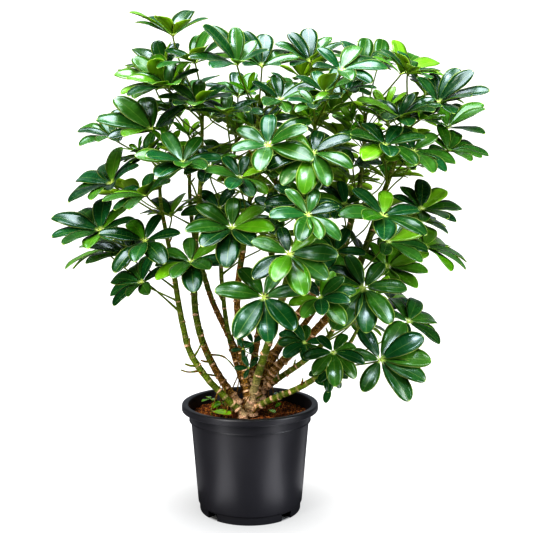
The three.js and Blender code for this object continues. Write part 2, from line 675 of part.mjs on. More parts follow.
// Inside of the pot, from the floor up to the mouth, as [radius, height].
const INSIDE = [
  [FOOT_RADIUS - WALL, FLOOR_TOP_Z],
  [BODY_FOOT_RADIUS - WALL, FOOT_HEIGHT + WALL],
  [BODY_TOP_RADIUS - WALL, BAND_FOOT_Z - 1],
  [BAND_RADIUS - WALL, BAND_FOOT_Z + WALL],
];

function makePot() {
  const outside = [
    [0, 0],
    [MIDDLE_PAD_RADIUS, 0],
    [MIDDLE_PAD_RADIUS + CHANNEL_Z, CHANNEL_Z],
    [FOOT_RADIUS - FOOT_RING - CHANNEL_Z, CHANNEL_Z],
    [FOOT_RADIUS - FOOT_RING, 0],
    [FOOT_RADIUS, 0],
    [FOOT_RADIUS + 0.8, FOOT_HEIGHT - 1],
    [BODY_FOOT_RADIUS, FOOT_HEIGHT],
    [BODY_TOP_RADIUS, BAND_FOOT_Z - 1],
    [BAND_RADIUS, BAND_FOOT_Z],
    [BAND_RADIUS + 1, RIM_UNDERSIDE_Z],
    [RIM_RADIUS - RIM_ROUNDING, RIM_UNDERSIDE_Z],
    [RIM_RADIUS, RIM_UNDERSIDE_Z + RIM_ROUNDING],
    [RIM_RADIUS, POT_HEIGHT - RIM_ROUNDING],
    [RIM_RADIUS - RIM_ROUNDING, POT_HEIGHT],
    [MOUTH_RADIUS, POT_HEIGHT],
  ];
  let pot = turned([...outside, ...INSIDE.toReversed(), [0, FLOOR_TOP_Z]]);
  for (let i = 0; i < NOTCHES; i++) {
    const notch = new THREE.BoxGeometry(FOOT_RADIUS * 0.4, NOTCH_WIDTH, 2 * NOTCH_HEIGHT);
    notch.translate(FOOT_RADIUS, 0, 0).rotateZ(((i + 0.5) * 2 * Math.PI) / NOTCHES);
    pot = pot.subtract(solidOf(notch));
  }
  return pot;
}

// The mix fills the pot to its surface, and has a plain hole for each thing that grows in it.
function makeMix(holes) {
  const wallRadius = BAND_RADIUS - WALL - 2 * GAP;
  const inside = INSIDE.filter((_, i) => i !== 1).map(([r, z]) => [r - 2 * GAP, z + GAP]);
  const surface = [1, 0.55].map((share) =>
    [wallRadius * share, MIX_EDGE_Z + (MIX_MIDDLE_Z - MIX_EDGE_Z) * (1 - share * share)]);
  const outline = [[0, FLOOR_TOP_Z + GAP], ...inside, ...surface, [0, MIX_MIDDLE_Z]];
  const lathe = new THREE.LatheGeometry(outline.map(([r, z]) => new THREE.Vector2(r, z)), POT_SIDES);
  lathe.rotateX(Math.PI / 2);
  const corners = lathe.getAttribute("position");
  for (let i = 0; i < corners.count; i++) {
    const [x, y, z] = [corners.getX(i), corners.getY(i), corners.getZ(i)];
    if (z < MIX_EDGE_Z - 1) continue;
    corners.setZ(i, z + MIX_LUMP * Math.sin(0.11 * x + 1.3) * Math.cos(0.13 * y - 0.4));
  }
  return holes.reduce((mix, hole) => mix.subtract(hole), solidOf(lathe));
}

// ---------------------------------------------------------------- the plant

const stems = STEMS.map(routeOf);
for (const stem of stems) {
  const shares = [...ringShares(stem, false), ...ringShares(stem, true)];
  const points = shares.map((share) => stem.route.getPointAt(share));
  rods.push(...rodsAlong(points, shares.map(stem.radiusAt), stem.name));
}

// Every stem's own leaves first, then the ones that fill the room left over.
for (const stem of stems)
  stem.leaves = stem.leaves.map(([across, down, depth, length, count]) =>
    poseLeaf(place([across, down, depth]), length, count));
const hubs = stems.flatMap((stem) => stem.leaves.map(({ hub }) => hub));
for (const stem of stems)
  for (let i = 0; i < stem.more; i++) {
    const hub = freeHub(stem.shootAt, i, stem.more, hubs);
    if (!hub) continue;
    hubs.push(hub);
    stem.leaves.push(poseLeaf(hub, 70 + 16 * draw(), 5));
  }

// All petioles before all blades, so that a blade can keep clear of every one of them.
for (const stem of stems) {
  const taken = [];
  for (const leaf of stem.leaves) {
    const { at, share } = attach(leaf, stem.shootAt, taken);
    growPetiole(leaf, at, stem.route.getTangentAt(stem.shootShare(share)), stem.name);
  }
}
for (const stem of stems)
  for (const leaf of stem.leaves) leaf.leaflets = growBlades(leaf);

const group = new THREE.Group();
const trunks = new Map();
const holes = [];
for (const stem of stems) {
  const wood = stemTube(stem, false);
  const trunk = stem.branchOf ?? stem.name;
  trunks.set(trunk, trunks.has(trunk) ? trunks.get(trunk).add(wood) : wood);
  if (!stem.branchOf) holes.push(stemTube(stem, false, 2 * GAP));
  let shoot = stemTube(stem, true);
  for (const leaf of stem.leaves.filter(({ leaflets }) => leaflets.length >= FEWEST_LEAFLETS))
    shoot = shoot.add(leafSolid(leaf));
  group.add(meshOf("shoot_" + stem.name, shoot, LEAF));
}
for (const [name, body] of trunks) group.add(meshOf("trunk_" + name, body, BARK));

for (const { name, root, leaves } of SEEDLINGS) {
  const top = place(root);
  const foot = top.clone().setZ(MIX_MIDDLE_Z - SEEDLING_DEPTH);
  const stalk = (proud) =>
    tube([foot, top].map((at) => ring(at, UP, SEEDLING_STEM_RADIUS + proud, SHOOT_SIDES, RING_SIDE)));
  let seedling = stalk(0);
  for (const [across, down, depth, length, count] of leaves) {
    const leaf = poseLeaf(place([across, down, depth]), length, count, 0.5);
    leaf.normal.copy(UP);
    growPetiole(leaf, top.clone().addScaledVector(UP, -1), UP, name);
    leaf.leaflets = growBlades(leaf);
    if (leaf.leaflets.length >= FEWEST_LEAFLETS) seedling = seedling.add(leafSolid(leaf));
  }
  holes.push(stalk(2 * GAP));
  group.add(meshOf(name, seedling, YOUNG_LEAF));
}
group.add(meshOf("pot", makePot(), POT_PLASTIC));
group.add(meshOf("potting_mix", makeMix(holes), POTTING_MIX));

export default group;
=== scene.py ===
"""A potted umbrella plant: its looks, built round its solids, which give every place and size.

The pot, the mix, the woody stems, the leafy shoots and the seedlings each have an operator of their
own, and so has the pale stage that they are shown on. Lengths are in metres.
"""

import itertools
import json
import math
import random
from collections import namedtuple
from functools import partial

import bmesh
import bpy
import numpy as np
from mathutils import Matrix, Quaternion, Vector
from mathutils.bvhtree import BVHTree

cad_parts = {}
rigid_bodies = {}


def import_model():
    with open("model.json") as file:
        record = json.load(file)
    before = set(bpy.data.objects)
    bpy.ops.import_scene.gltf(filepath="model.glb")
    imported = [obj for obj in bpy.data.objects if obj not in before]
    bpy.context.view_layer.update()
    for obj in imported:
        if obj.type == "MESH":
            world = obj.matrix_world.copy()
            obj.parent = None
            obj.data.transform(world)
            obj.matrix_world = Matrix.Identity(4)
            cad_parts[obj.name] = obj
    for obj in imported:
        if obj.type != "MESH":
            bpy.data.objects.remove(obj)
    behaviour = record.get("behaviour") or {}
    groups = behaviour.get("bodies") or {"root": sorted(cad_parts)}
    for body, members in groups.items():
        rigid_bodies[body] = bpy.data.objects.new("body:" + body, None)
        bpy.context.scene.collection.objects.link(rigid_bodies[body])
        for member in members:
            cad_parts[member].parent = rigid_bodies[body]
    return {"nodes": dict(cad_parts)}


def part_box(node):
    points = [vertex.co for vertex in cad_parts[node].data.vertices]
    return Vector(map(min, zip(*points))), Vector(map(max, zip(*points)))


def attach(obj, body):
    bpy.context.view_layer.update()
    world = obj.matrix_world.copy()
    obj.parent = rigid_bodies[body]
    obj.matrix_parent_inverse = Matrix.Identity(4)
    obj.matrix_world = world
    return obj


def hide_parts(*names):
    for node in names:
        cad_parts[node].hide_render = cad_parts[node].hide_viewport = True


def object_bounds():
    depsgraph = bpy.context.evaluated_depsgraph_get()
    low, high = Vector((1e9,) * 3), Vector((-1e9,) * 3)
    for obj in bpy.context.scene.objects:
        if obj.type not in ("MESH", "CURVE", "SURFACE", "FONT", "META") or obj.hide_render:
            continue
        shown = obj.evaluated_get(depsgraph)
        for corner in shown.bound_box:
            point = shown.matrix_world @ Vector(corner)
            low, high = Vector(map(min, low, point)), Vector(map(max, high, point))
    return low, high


bl_info = {
    "name": "Potted Umbrella Plant",
    "version": (1, 0, 0),
    "blender": (4, 5, 0),
    "location": "3D Viewport > Sidebar > Umbrella Plant",
    "description": "Dresses the solids of a potted umbrella plant with leaves, bark, mix and pot",
    "category": "Object",
}

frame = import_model()
CAD_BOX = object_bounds()

MM = 0.001
UP = Vector((0, 0, 1))
BODY = "root"
WHITE = (1, 1, 1)

# ---- the eye of the picture
# Where a stem runs is read from a straight-on picture, PICTURE_SIDE points square, as
# (across, down, depth), with the depth in millimetres behind the pot's axis.
PICTURE_SIDE = 533
EYE = Vector((29, -1370, 539)) * MM
EYE_TILT = math.radians(4.6)  # how far the eye looks down
FOCAL = 788  # in points of the picture
SENSOR = 36.0

# Stems: the trunk they are part of; their bark's radii in mm at the foot, a little above it, at the
# shoot's foot and at the tip; the share of the whole route that is brown rather than green; how many
# mm of the foot are pale with old scars; and the route, first of the bare wood, then of the shoot.
ROUTES = {
    "left_outer": (
        "left_outer", (7.0, 5.6, 5.0, 2.4), 0.12, 14,
        [(243, 416, -52), (227, 399, -55), (207, 378, -56), (190, 352, -54)],
        [(183, 326, -48), (178, 300, -42), (175, 280, -36), (171, 257, -30), (166, 232, -25),
         (161, 205, -20), (160, 180, -14), (163, 158, -8)]),
    "left_inner": (
        "left_inner", (8.4, 6.2, 5.4, 2.4), 0.27, 12,
        [(236, 402, 8), (227, 388, 8), (213, 365, 10), (202, 340, 10), (196, 315, 6), (194, 290, 2)],
        [(194, 264, 0), (196, 235, -5), (199, 205, -10), (201, 170, -10), (202, 135, -8), (203, 102, -5)]),
    "slender": (
        "slender", (5.4, 4.4, 3.9, 2.1), 0.3, 6,
        [(246, 399, 38), (238, 370, 38), (231, 345, 38), (226, 320, 42)],
        [(223, 295, 46), (221, 265, 52), (223, 235, 58), (228, 200, 62), (233, 165, 62), (237, 128, 60)]),
    "middle": (
        "front", (7.6, 6.2, 5.4, 2.4), 0.5, 6,
        [(250.5, 408, -32), (247, 390, -20), (243, 360, -8), (239, 330, -2), (237, 300, 0)],
        [(239, 275, -4), (243, 250, -10), (248, 215, -20), (252, 180, -25), (256, 145, -25),
         (259, 105, -20)]),
    "front": (
        "front", (11.5, 7.0, 5.8, 2.6), 0.1, 60,
        [(249.5, 415, -27), (254, 390, -42), (262, 362, -62), (272, 332, -78)],
        [(281, 302, -90), (288, 275, -95), (296, 245, -95), (304, 210, -90), (310, 175, -80),
         (314, 140, -65), (316, 112, -50)]),
    "low_right": (
        "front", (7.0, 5.4, 4.7, 2.3), 0.08, 16,
        [(251, 410, -31), (270, 400, -46), (292, 391, -62)],
        [(311, 381, -75), (328, 367, -85), (345, 350, -92), (357, 330, -94), (364, 310, -90)]),
    "mid_right": (
        "right_inner", (7.0, 5.2, 4.6, 2.3), 0.12, 16,
        [(260.5, 391, 27), (276, 380, 12), (297, 366, 0)],
        [(317, 350, -16), (334, 328, -34), (345, 302, -44), (350, 278, -44)]),
    "right_outer": (
        "right_inner", (9.2, 7.6, 6.2, 2.5), 0.5, 6,
        [(263, 384, 32), (282, 362, 34), (308, 338, 24), (332, 312, 6), (350, 286, -6)],
        [(362, 258, -16), (372, 230, -22), (382, 198, -26), (393, 168, -28), (402, 142, -24),
         (410, 122, -15)]),
    "right_inner": (
        "right_inner", (9.6, 7.8, 6.4, 2.5), 0.55, 6,
        [(259, 396, 24), (267, 370, 40), (280, 345, 54), (298, 315, 64), (316, 290, 62)],
        [(331, 265, 52), (345, 238, 38), (355, 208, 24), (361, 176, 12), (364, 146, 6), (365, 115, 4)]),
    "back_left": (
        "back_middle", (7.2, 5.6, 5.0, 2.3), 0.4, 6,
        [(251.5, 384, 86), (240, 358, 98), (226, 330, 122), (212, 300, 146)],
        [(202, 268, 164), (194, 235, 176), (190, 200, 180), (190, 165, 176), (194, 132, 168)]),
    "back_middle": (
        "back_middle", (8.6, 6.6, 5.2, 2.3), 0.45, 6,
        [(250, 395, 80), (254, 360, 104), (260, 325, 134), (267, 290, 160)],
        [(272, 255, 180), (275, 220, 194), (276, 185, 200), (275, 150, 198), (274, 118, 192)]),
    "back_right": (
        "back_middle", (7.2, 5.6, 5.0, 2.3), 0.4, 6,
        [(252.5, 376, 92), (272, 353, 102), (296, 334, 122), (318, 304, 142)],
        [(336, 272, 156), (348, 238, 164), (356, 203, 166), (362, 170, 162), (366, 140, 154)]),
}
# Dry stalks that still stand on the stems: the stem, and the stalk's way in the picture.
TWIGS = (
    ("left_outer", [(195, 375, -56), (188, 372, -60), (181, 370, -64)]),
    ("left_outer", [(190, 353, -56), (189.5, 346, -60), (189.5, 338, -62)]),
    ("left_inner", [(211, 356, 6), (209, 351, 2), (207, 345, 0)]),
    ("left_inner", [(211, 354, 4), (222, 356, -10), (229, 361, -20), (234, 367, -30)]),
    ("left_inner", [(217, 377, 6), (211, 375, 0), (204, 373, -4)]),
    ("right_inner", [(278, 352, 40), (279, 366, 34), (277, 384, 30)]),
)
# Late sprigs low on the stems: the stem, the hub's place in the picture, leaflets, their length in mm.
SPRIGS = (("middle", (249, 368, -50), 5, 24), ("middle", (253, 343, -38), 4, 26),
          ("front", (243, 349, -84), 4, 22), ("low_right", (330, 386, -100), 3, 30))
# Broad first leaves of the seedlings: base and tip in the picture, and their half width in mm.
SPROUTS = {
    "seedling_left": [((211, 409), (221, 402), 7.5), ((212, 411), (231, 414), 8),
                      ((224, 402), (230, 397), 4), ((233, 409), (239, 405), 3.5)],
    "seedling_right": [((269, 400), (281, 394), 5.5), ((275, 408), (281, 403), 4),
                       ((268, 409), (275, 413), 4.5)],
}


# ---- small helpers

def linear(code):
    """A colour "#rrggbb" as linear (r, g, b, 1)."""
    shares = [int(code[i:i + 2], 16) / 255 for i in (1, 3, 5)]
    return (*(s / 12.92 if s <= 0.04045 else ((s + 0.055) / 1.055) ** 2.4 for s in shares), 1.0)


def set_inputs(node, *values, **named):
    """Sets inputs of a node to values, nodes or sockets: the first ones by their order, others by
    name. The order counts the sockets that the node uses as it is set, and a node stands for the
    first socket that it gives."""
    live = [socket for socket in node.inputs if socket.enabled]
    by_name = [(node.inputs[name.replace("_", " ")], value) for name, value in named.items()]
    for socket, value in [*zip(live, values), *by_name]:
        if isinstance(value, bpy.types.Node):
            value = next(out for out in value.outputs if out.enabled)
        if isinstance(value, bpy.types.NodeSocket):
            node.id_data.links.new(value, socket)
        elif socket.type == "RGBA":
            socket.default_value = (*value[:3], 1)
        else:
            socket.default_value = value


def add_node(tree, kind, *values, **named):
    """Adds a node. Its kind is its type, with any operation or data type after a space. Names with a
    capital are its inputs, as set_inputs takes them, and the others are its settings."""
    kind, _, choice = kind.partition(" ")
    made = tree.nodes.new(kind if "Node" in kind else "ShaderNode" + kind)
    if choice:
        setattr(made, "operation" if hasattr(made, "operation") else "data_type", choice)
    for name in [name for name in named if name.islower()]:
        setattr(made, name, named.pop(name))
    set_inputs(made, *values, **named)
    return made


def place(spot):
    """The point that shows at this place of the picture, at this depth."""
    right, drop = ((step - PICTURE_SIDE / 2) / FOCAL for step in spot[:2])
    sight = Vector((right, math.cos(EYE_TILT) - drop * math.sin(EYE_TILT),
                    -math.sin(EYE_TILT) - drop * math.cos(EYE_TILT)))
    return EYE + sight * ((spot[2] * MM - EYE.y) / sight.y)


def place_at_height(across, down, z):
    """The point at this height that shows at this place of the picture."""
    sight = place((across, down, 0)) - EYE
    return EYE + sight * ((z - EYE.z) / sight.z)


def ring_points(radius, z, count):
    """Points evenly round a level ring about +Z."""
    turns = (2 * math.pi * i / count for i in range(count))
    return [(radius * math.cos(turn), radius * math.sin(turn), z) for turn in turns]


def linked(name, mesh):
    """A new object of this mesh in the scene."""
    made = bpy.data.objects.new(name, mesh)
    bpy.context.scene.collection.objects.link(made)
    return made


def mesh_from(name, points, edges=(), faces=()):
    """A mesh of these points, and the edges or faces between them."""
    mesh = bpy.data.meshes.new(name)
    mesh.from_pydata([tuple(p) for p in points], edges, faces)
    mesh.update()
    return mesh


def mesh_of(name, shape):
    """A mesh of what was shaped, which is then let go."""
    mesh = bpy.data.meshes.new(name)
    shape.to_mesh(mesh)
    shape.free()
    return mesh


def set_attribute(mesh, name, values, domain="POINT"):
    """Stores a number, a vector or a truth for each corner of the mesh, or for each of its faces."""
    values = np.array([tuple(v) if isinstance(v, Vector) else v for v in values])
    kind, key = ("FLOAT_VECTOR", "vector") if values.ndim == 2 else ("FLOAT", "value")
    if values.dtype == bool:
        kind = "BOOLEAN"
    else:
        values = values.astype(np.float32)
    mesh.attributes.new(name, kind, domain).data.foreach_set(key, values.ravel())


def plain_mesh(host):
    """A plain mesh of an object as its modifier makes it."""
    host.update_tag()
    bpy.context.view_layer.update()
    return bpy.data.meshes.new_from_object(host.evaluated_get(bpy.context.evaluated_depsgraph_get()))


def seat(piece, node):
    """The piece rides with the plant and stands for this node, whose solid is hidden."""
    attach(piece, BODY)
    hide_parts(node)


def grow(name, slot, node, source, tree, **sizes):
    """A piece of what the geometry tree makes of the source mesh, with these as the tree's inputs."""
    host = linked(name + "_source", source)
    modifier = host.modifiers.new(tree.name, "NODES")
    modifier.node_group = tree
    for socket in tree.interface.items_tree:
        label = socket.name.replace(" ", "_")
        if socket.in_out == "INPUT" and label in sizes:
            modifier[socket.identifier] = sizes[label]
    mesh = plain_mesh(host)
    bpy.data.objects.remove(host)
    mesh.name = name
    seat(linked(name, mesh), node)


# ---- materials
# Scales of the patterns, in grains to the metre.
MOTTLE = 900  # grains of 1.1 mm, coarser than the mould's own 0.3 mm, so that they show
SCUFFS = 14  # cloudy patches of 70 mm
FIBRE = 420  # fibres and cracks of 2.4 mm
BLOTCHES = 70  # patches of cork of 14 mm
CLOUDS = 45  # uneven green, in patches of 22 mm
STALK_CLOUDS = 160  # the same on a petiole, in patches of 6 mm
PAPER_GRAIN = 300  # grains of 3.3 mm, coarser than the paper's own, so that they show
LUMPS = 90  # lumps of the bark's own shape, 11 mm from one to the next
# Patterns that are drawn as waves.
RING_SPACING = 4 * MM  # from one fine ring round a stem to the next
RING_STIR, RING_SHOW = 9.0, 0.3  # how far blotches stir the rings, and how much they show in relief
VEINS, VEIN_SWEEP = 56.0, -1.9  # turns of nine pairs of side veins along a leaflet, swept forwards
# How far from the pot's axis the paper comes clear of its foot, and where the painted shadow round the pot
# starts and ends, over which the paper's glow fades in.
FOOT_CLEAR, PAINTED_SHADOW = (84 * MM, 90 * MM), (88 * MM, 290 * MM)


def new_material(name):
    """A new material, its shader, and a function that adds a node to it."""
    material = bpy.data.materials.new(name)
    material.use_nodes = True
    tree = material.node_tree
    return material, next(n for n in tree.nodes if n.type == "BSDF_PRINCIPLED"), partial(add_node, tree)


def moulded_polypropylene(settings):
    """Black polypropylene, injection moulded: a satin skin with a fine mottle from the mould."""
    material, shader, add = new_material("moulded_polypropylene")
    spot = add("TexCoord").outputs["Object"]
    scuffs = add("TexNoise", spot, SCUFFS, 5)
    set_inputs(
        shader, Base_Color=add("Mix RGBA", scuffs, settings.colour, settings.worn_colour), IOR=1.49,
        Roughness=add("MapRange", scuffs, 0.3, 0.7, 0.38, 0.46),
        Normal=add("Bump", Strength=0.12, Distance=0.2 * MM, Height=add("TexNoise", spot, MOTTLE, 3)))
    return material


def composted_bark(settings):
    """Composted bark and coir, torn: damp orange-brown chips, no two alike, dark in between."""
    material, shader, add = new_material("composted_bark")
    grain = add("TexNoise", add("TexCoord").outputs["Object"], FIBRE, 6, 0.7)
    ramp = add("ValToRGB", add("Attribute", attribute_name="chance").outputs["Fac"])
    ramp.color_ramp.elements.new(0.5)
    stops = ((0.0, settings.dark_colour), (0.45, settings.colour), (1.0, settings.light_colour))
    for stop, (at, colour) in zip(ramp.color_ramp.elements, stops):
        stop.position = at
        stop.color = (*colour, 1)
    shade = add("MapRange", grain, 0.25, 0.75, 0.45, 1.35)
    set_inputs(shader, Base_Color=add("VectorMath SCALE", ramp, shade), Roughness=0.85,
               Normal=add("Bump", Strength=0.7, Distance=1.2 * MM, Height=grain))
    return material


def cane_bark(settings):
    """Stem skin: brown cork low down, waxy green above, and pale tan scars where leaves fell."""
    material, shader, add = new_material("cane_bark")
    spot = add("TexCoord").outputs["Object"]
    wood, scar, route = (add("Attribute", attribute_name=name).outputs["Fac"]
                         for name in ("wood", "scar", "route"))
    blotch = add("TexNoise", spot, BLOTCHES, 5, 0.65)
    fine = add("TexNoise", spot, FIBRE, 5, 0.7)
    grain = add("MapRange", fine, 0.32, 0.66)
    # Cork comes in patches: where the blotches are strong it shows first on green, and last goes.
    corky = add("Math ADD", wood, add("MapRange", blotch, 0.35, 0.65, -0.42, 0.42))
    corky = add("MapRange", corky, 0.38, 0.6)
    cork = add("Mix RGBA", grain, settings.cork_dark, settings.cork_light)
    green = add("Mix RGBA", blotch, settings.green_dark, settings.green_light)
    worn = add("Math MULTIPLY", add("MapRange", blotch, 0.4, 0.56, 0.6, 1.0), scar)
    skin = add("Mix RGBA", worn, add("Mix RGBA", corky, green, cork), settings.scar_colour)
    # Fine rings round the stem, uneven because the blotches stir the route that they follow.
    turns = add("Math MULTIPLY", route, 2 * math.pi / RING_SPACING)
    rings = add("Math SINE", add("Math MULTIPLY_ADD", blotch, RING_STIR, turns))
    set_inputs(shader, Base_Color=add("VectorMath SCALE", skin, add("MapRange", grain, 0, 1, 0.3, 1.35)),
               Roughness=add("MapRange", corky, 0, 1, 0.5, 0.85), Specular_IOR_Level=0.3,
               Normal=add("Bump", Strength=0.8, Distance=1.3 * MM,
                          Height=add("Math MULTIPLY_ADD", rings, RING_SHOW, fine)))
    return material


def waxy_leaf(name, settings):
    """A leathery leaf with a waxy cuticle: dark and mirror-bright above, yellow-green and duller
    below, that yellow-green brightened as painted light shining through the leaf, with a pale midrib, stalk
    and margin, and faint side veins."""
    material, shader, add = new_material(name)
    leafmap, age, tint = (add("Attribute", attribute_name=key).outputs[kind] for key, kind in
                          (("leafmap", "Vector"), ("age", "Fac"), ("tint", "Fac")))
    along, across, face = add("SeparateXYZ", leafmap).outputs
    clouds = add("TexNoise", add("TexCoord").outputs["Object"], CLOUDS, 3)
    off_rib = add("Math ABSOLUTE", across)
    below = add("Math LESS_THAN", face, 0.0)
    mature = add("Mix RGBA", tint, settings.mature_dark, settings.mature_light)
    young = add("Mix RGBA", tint, settings.young_dark, settings.young_light)
    upper, lower = (add("Mix RGBA", age, young, grown) for grown in (mature, settings.underside))
    vein = add("Math MULTIPLY_ADD", along, VEINS, add("Math MULTIPLY", off_rib, VEIN_SWEEP))
    vein = add("Math SINE", vein)
    # Pale lines: what each is read from, from where to where, and how strong it is there.
    pale = 0.0
    for line in ((off_rib, 0.015, 0.05, 0.16, 0.0),  # the midrib
                 (off_rib, 0.87, 0.96, 0.0, 0.6),  # the margin
                 (along, 0.965, 0.985, 0.0, 0.6),  # the tip
                 (along, 0.05, 0.12, 1.0, 0.0),  # the stalk
                 (vein, 0.86, 1.0, 0.0, 0.03)):  # the side veins
        pale = add("Math MAXIMUM", pale, add("MapRange", *line))
    drawn = add("Mix RGBA", pale, add("Mix RGBA", below, upper, lower), settings.rib_colour)
    gloss = add("MapRange", clouds, 0.3, 0.7, 0.17, 0.3)
    set_inputs(shader, IOR=1.45, Roughness=add("Math MULTIPLY_ADD", below, 0.22, gloss),
               Base_Color=add("VectorMath SCALE", drawn, add("MapRange", clouds, 0.3, 0.7, 0.8, 1.2)),
               Normal=add("Bump", Strength=0.35, Distance=0.6 * MM,
                          Height=add("Math MULTIPLY_ADD", pale, -0.6, clouds)))
    return material


def sheeny_stalk(settings):
    """A petiole's thin green skin, smooth and a little shiny, paler towards the leaf's hub."""
    material, shader, add = new_material("sheeny_stalk")
    reach = add("Attribute", attribute_name="reach").outputs["Fac"]
    clouds = add("TexNoise", add("TexCoord").outputs["Object"], STALK_CLOUDS, 4)
    green = add("Mix RGBA", clouds, settings.green_dark, settings.green_light)
    paler = add("MapRange", reach, 0.86, 1.0)
    set_inputs(shader, Base_Color=add("Mix RGBA", paler, green, settings.hub_colour),
               Roughness=add("MapRange", clouds, 0, 1, 0.3, 0.5),
               Normal=add("Bump", Strength=0.3, Distance=0.3 * MM, Height=clouds))
    return material


def white_paper(settings):
    """Seamless paper, matt grey under the lamps. To the camera it also glows white, and the glow fades
    towards the pot into a painted shadow round its foot.
    """
    material, shader, add = new_material("white_paper")
    spot = add("TexCoord").outputs["Object"]
    far = add("VectorMath LENGTH", spot)
    # A painted glow, seen by the camera only: full beyond the painted shadow, fading towards the pot's foot
    # so as to paint a soft shadow there, and none under the pot.
    painted_glow = add("MapRange", far, *PAINTED_SHADOW, settings.floor_glow, 1.0)
    clear = add("MapRange", far, *FOOT_CLEAR)
    seen = add("LightPath")
    painted_glow = add("Math MULTIPLY", painted_glow, add("Math MULTIPLY", clear, seen))
    set_inputs(shader, Base_Color=add("Mix RGBA", seen, settings.floor_bounce, settings.floor_colour),
               Roughness=0.9, Normal=add("Bump", Strength=0.05, Distance=0.2 * MM,
                                         Height=add("TexNoise", spot, PAPER_GRAIN, 2)))
    paper = add("MixShader", painted_glow, shader, add("Emission", WHITE, 1.0))
    set_inputs(next(n for n in material.node_tree.nodes if n.type == "OUTPUT_MATERIAL"), paper)
    return material


# ---- geometry trees

HELD = "GeometryNodeInputNamedAttribute "  # what is stored on the geometry, of the kind that follows
WAVES = 9.0  # turn of the ripple along a leaflet


def new_tree(name, **sizes):
    """The inputs of a new geometry tree, named and each given as its default number or as its kind,
    and a function that adds a node to the tree."""
    tree = bpy.data.node_groups.new(name, "GeometryNodeTree")
    new_socket = tree.interface.new_socket
    new_socket("Geometry", in_out="INPUT", socket_type="NodeSocketGeometry")
    for label, size in sizes.items():
        kind = {float: "Float", int: "Int"}.get(type(size), size)
        socket = new_socket(label.replace("_", " "), in_out="INPUT", socket_type=f"NodeSocket{kind}")
        if kind != size:
            socket.default_value = size
    new_socket("Geometry", in_out="OUTPUT", socket_type="NodeSocketGeometry")
    add = partial(add_node, tree)
    return add("NodeGroupInput").outputs, add


def end_tree(add, material, *parts):
    """Joins what was made, realises it, shades it smooth and gives it its material."""
    joined = add("GeometryNodeJoinGeometry")
    for part in parts:
        set_inputs(joined, part)
    smooth = add("GeometryNodeSetShadeSmooth", add("GeometryNodeRealizeInstances", joined))
    return add("NodeGroupOutput", add("GeometryNodeSetMaterial", smooth, Material=material)).id_data


def leaflet_tree():
    """A leaflet for each point. Its midrib is a curve from its hub, past its middle, to its tip,
    and its halves rise from the midrib by the fold and ripple by the wave."""
    given, add = new_tree("Leaflets", Blade="Object", Fold=0.2, Wave=0.05, Material="Material")
    blade = add("GeometryNodeObjectInfo", given["Blade"]).outputs["Geometry"]
    shaped = add("GeometryNodeStoreNamedAttribute FLOAT_VECTOR", blade, Name="shape",
                 Value=add("GeometryNodeInputPosition"))
    copies = add("GeometryNodeInstanceOnPoints", given["Geometry"], Instance=shaped)
    hub, middle, tip, side, shape = (add(HELD + "FLOAT_VECTOR", name)
                                     for name in ("hub", "middle", "tip", "side", "shape"))
    along, across, proud = add("SeparateXYZ", shape).outputs
    inner, outer = add("Mix VECTOR", along, hub, middle), add("Mix VECTOR", along, middle, tip)
    midrib = add("Mix VECTOR", along, inner, outer)
    rise = add("VectorMath CROSS_PRODUCT", add("VectorMath SUBTRACT", outer, inner), side)
    rise = add("VectorMath NORMALIZE", rise)
    folded = add("Math MULTIPLY_ADD", add("Math ABSOLUTE", across), given["Fold"], proud)
    ripple = add("Math SINE", add("Math MULTIPLY_ADD", along, WAVES, add(HELD + "FLOAT", "phase")))
    ripple = add("Math MULTIPLY", ripple, given["Wave"])
    lift = add("Math MULTIPLY_ADD", across, ripple, folded)
    lift = add("Math MULTIPLY", lift, add("VectorMath LENGTH", side))
    spot = add("VectorMath ADD", midrib, add("VectorMath SCALE", side, across))
    spot = add("VectorMath ADD", spot, add("VectorMath SCALE", rise, lift))
    bent = add("GeometryNodeSetPosition", add("GeometryNodeRealizeInstances", copies), Position=spot)
    return end_tree(add, given["Material"], bent)


def tube_tree():
    """A tube along each line of the geometry, as thick as the radius stored on it, with a scar
    round a part of it wherever the line says so."""
    given, add = new_tree("Tubes", Sides=20, Scar="Object", Roughness=0.0, Material="Material")
    radius, turn, way, pad, scarred = (add(HELD + kind, name) for name, kind in (
        ("radius", "FLOAT"), ("turn", "FLOAT"), ("way", "FLOAT_VECTOR"), ("pad", "FLOAT_VECTOR"),
        ("scarred", "BOOLEAN")))
    circle = add("GeometryNodeCurvePrimitiveCircle", given["Sides"], 1.0)
    tube = add("GeometryNodeCurveToMesh", add("GeometryNodeMeshToCurve", given["Geometry"]), circle,
               radius, True)
    lumps = add("Math SUBTRACT", add("TexNoise", add("GeometryNodeInputPosition"), LUMPS, 3), 0.5)
    lumps = add("Math MULTIPLY", lumps, given["Roughness"])
    rough = add("GeometryNodeSetPosition", tube,
                Offset=add("VectorMath SCALE", add("GeometryNodeInputNormal"), lumps))
    scar = add("GeometryNodeObjectInfo", given["Scar"]).outputs["Geometry"]
    upright = add("FunctionNodeAlignRotationToVector", Vector=way, axis="Z")
    turned = add("FunctionNodeRotateRotation", upright,
                 add("FunctionNodeAxisAngleToRotation", UP, turn), rotation_space="LOCAL")
    scars = add("GeometryNodeInstanceOnPoints", given["Geometry"], scarred, scar, Rotation=turned,
                Scale=pad)
    return end_tree(add, given["Material"], scars, rough)


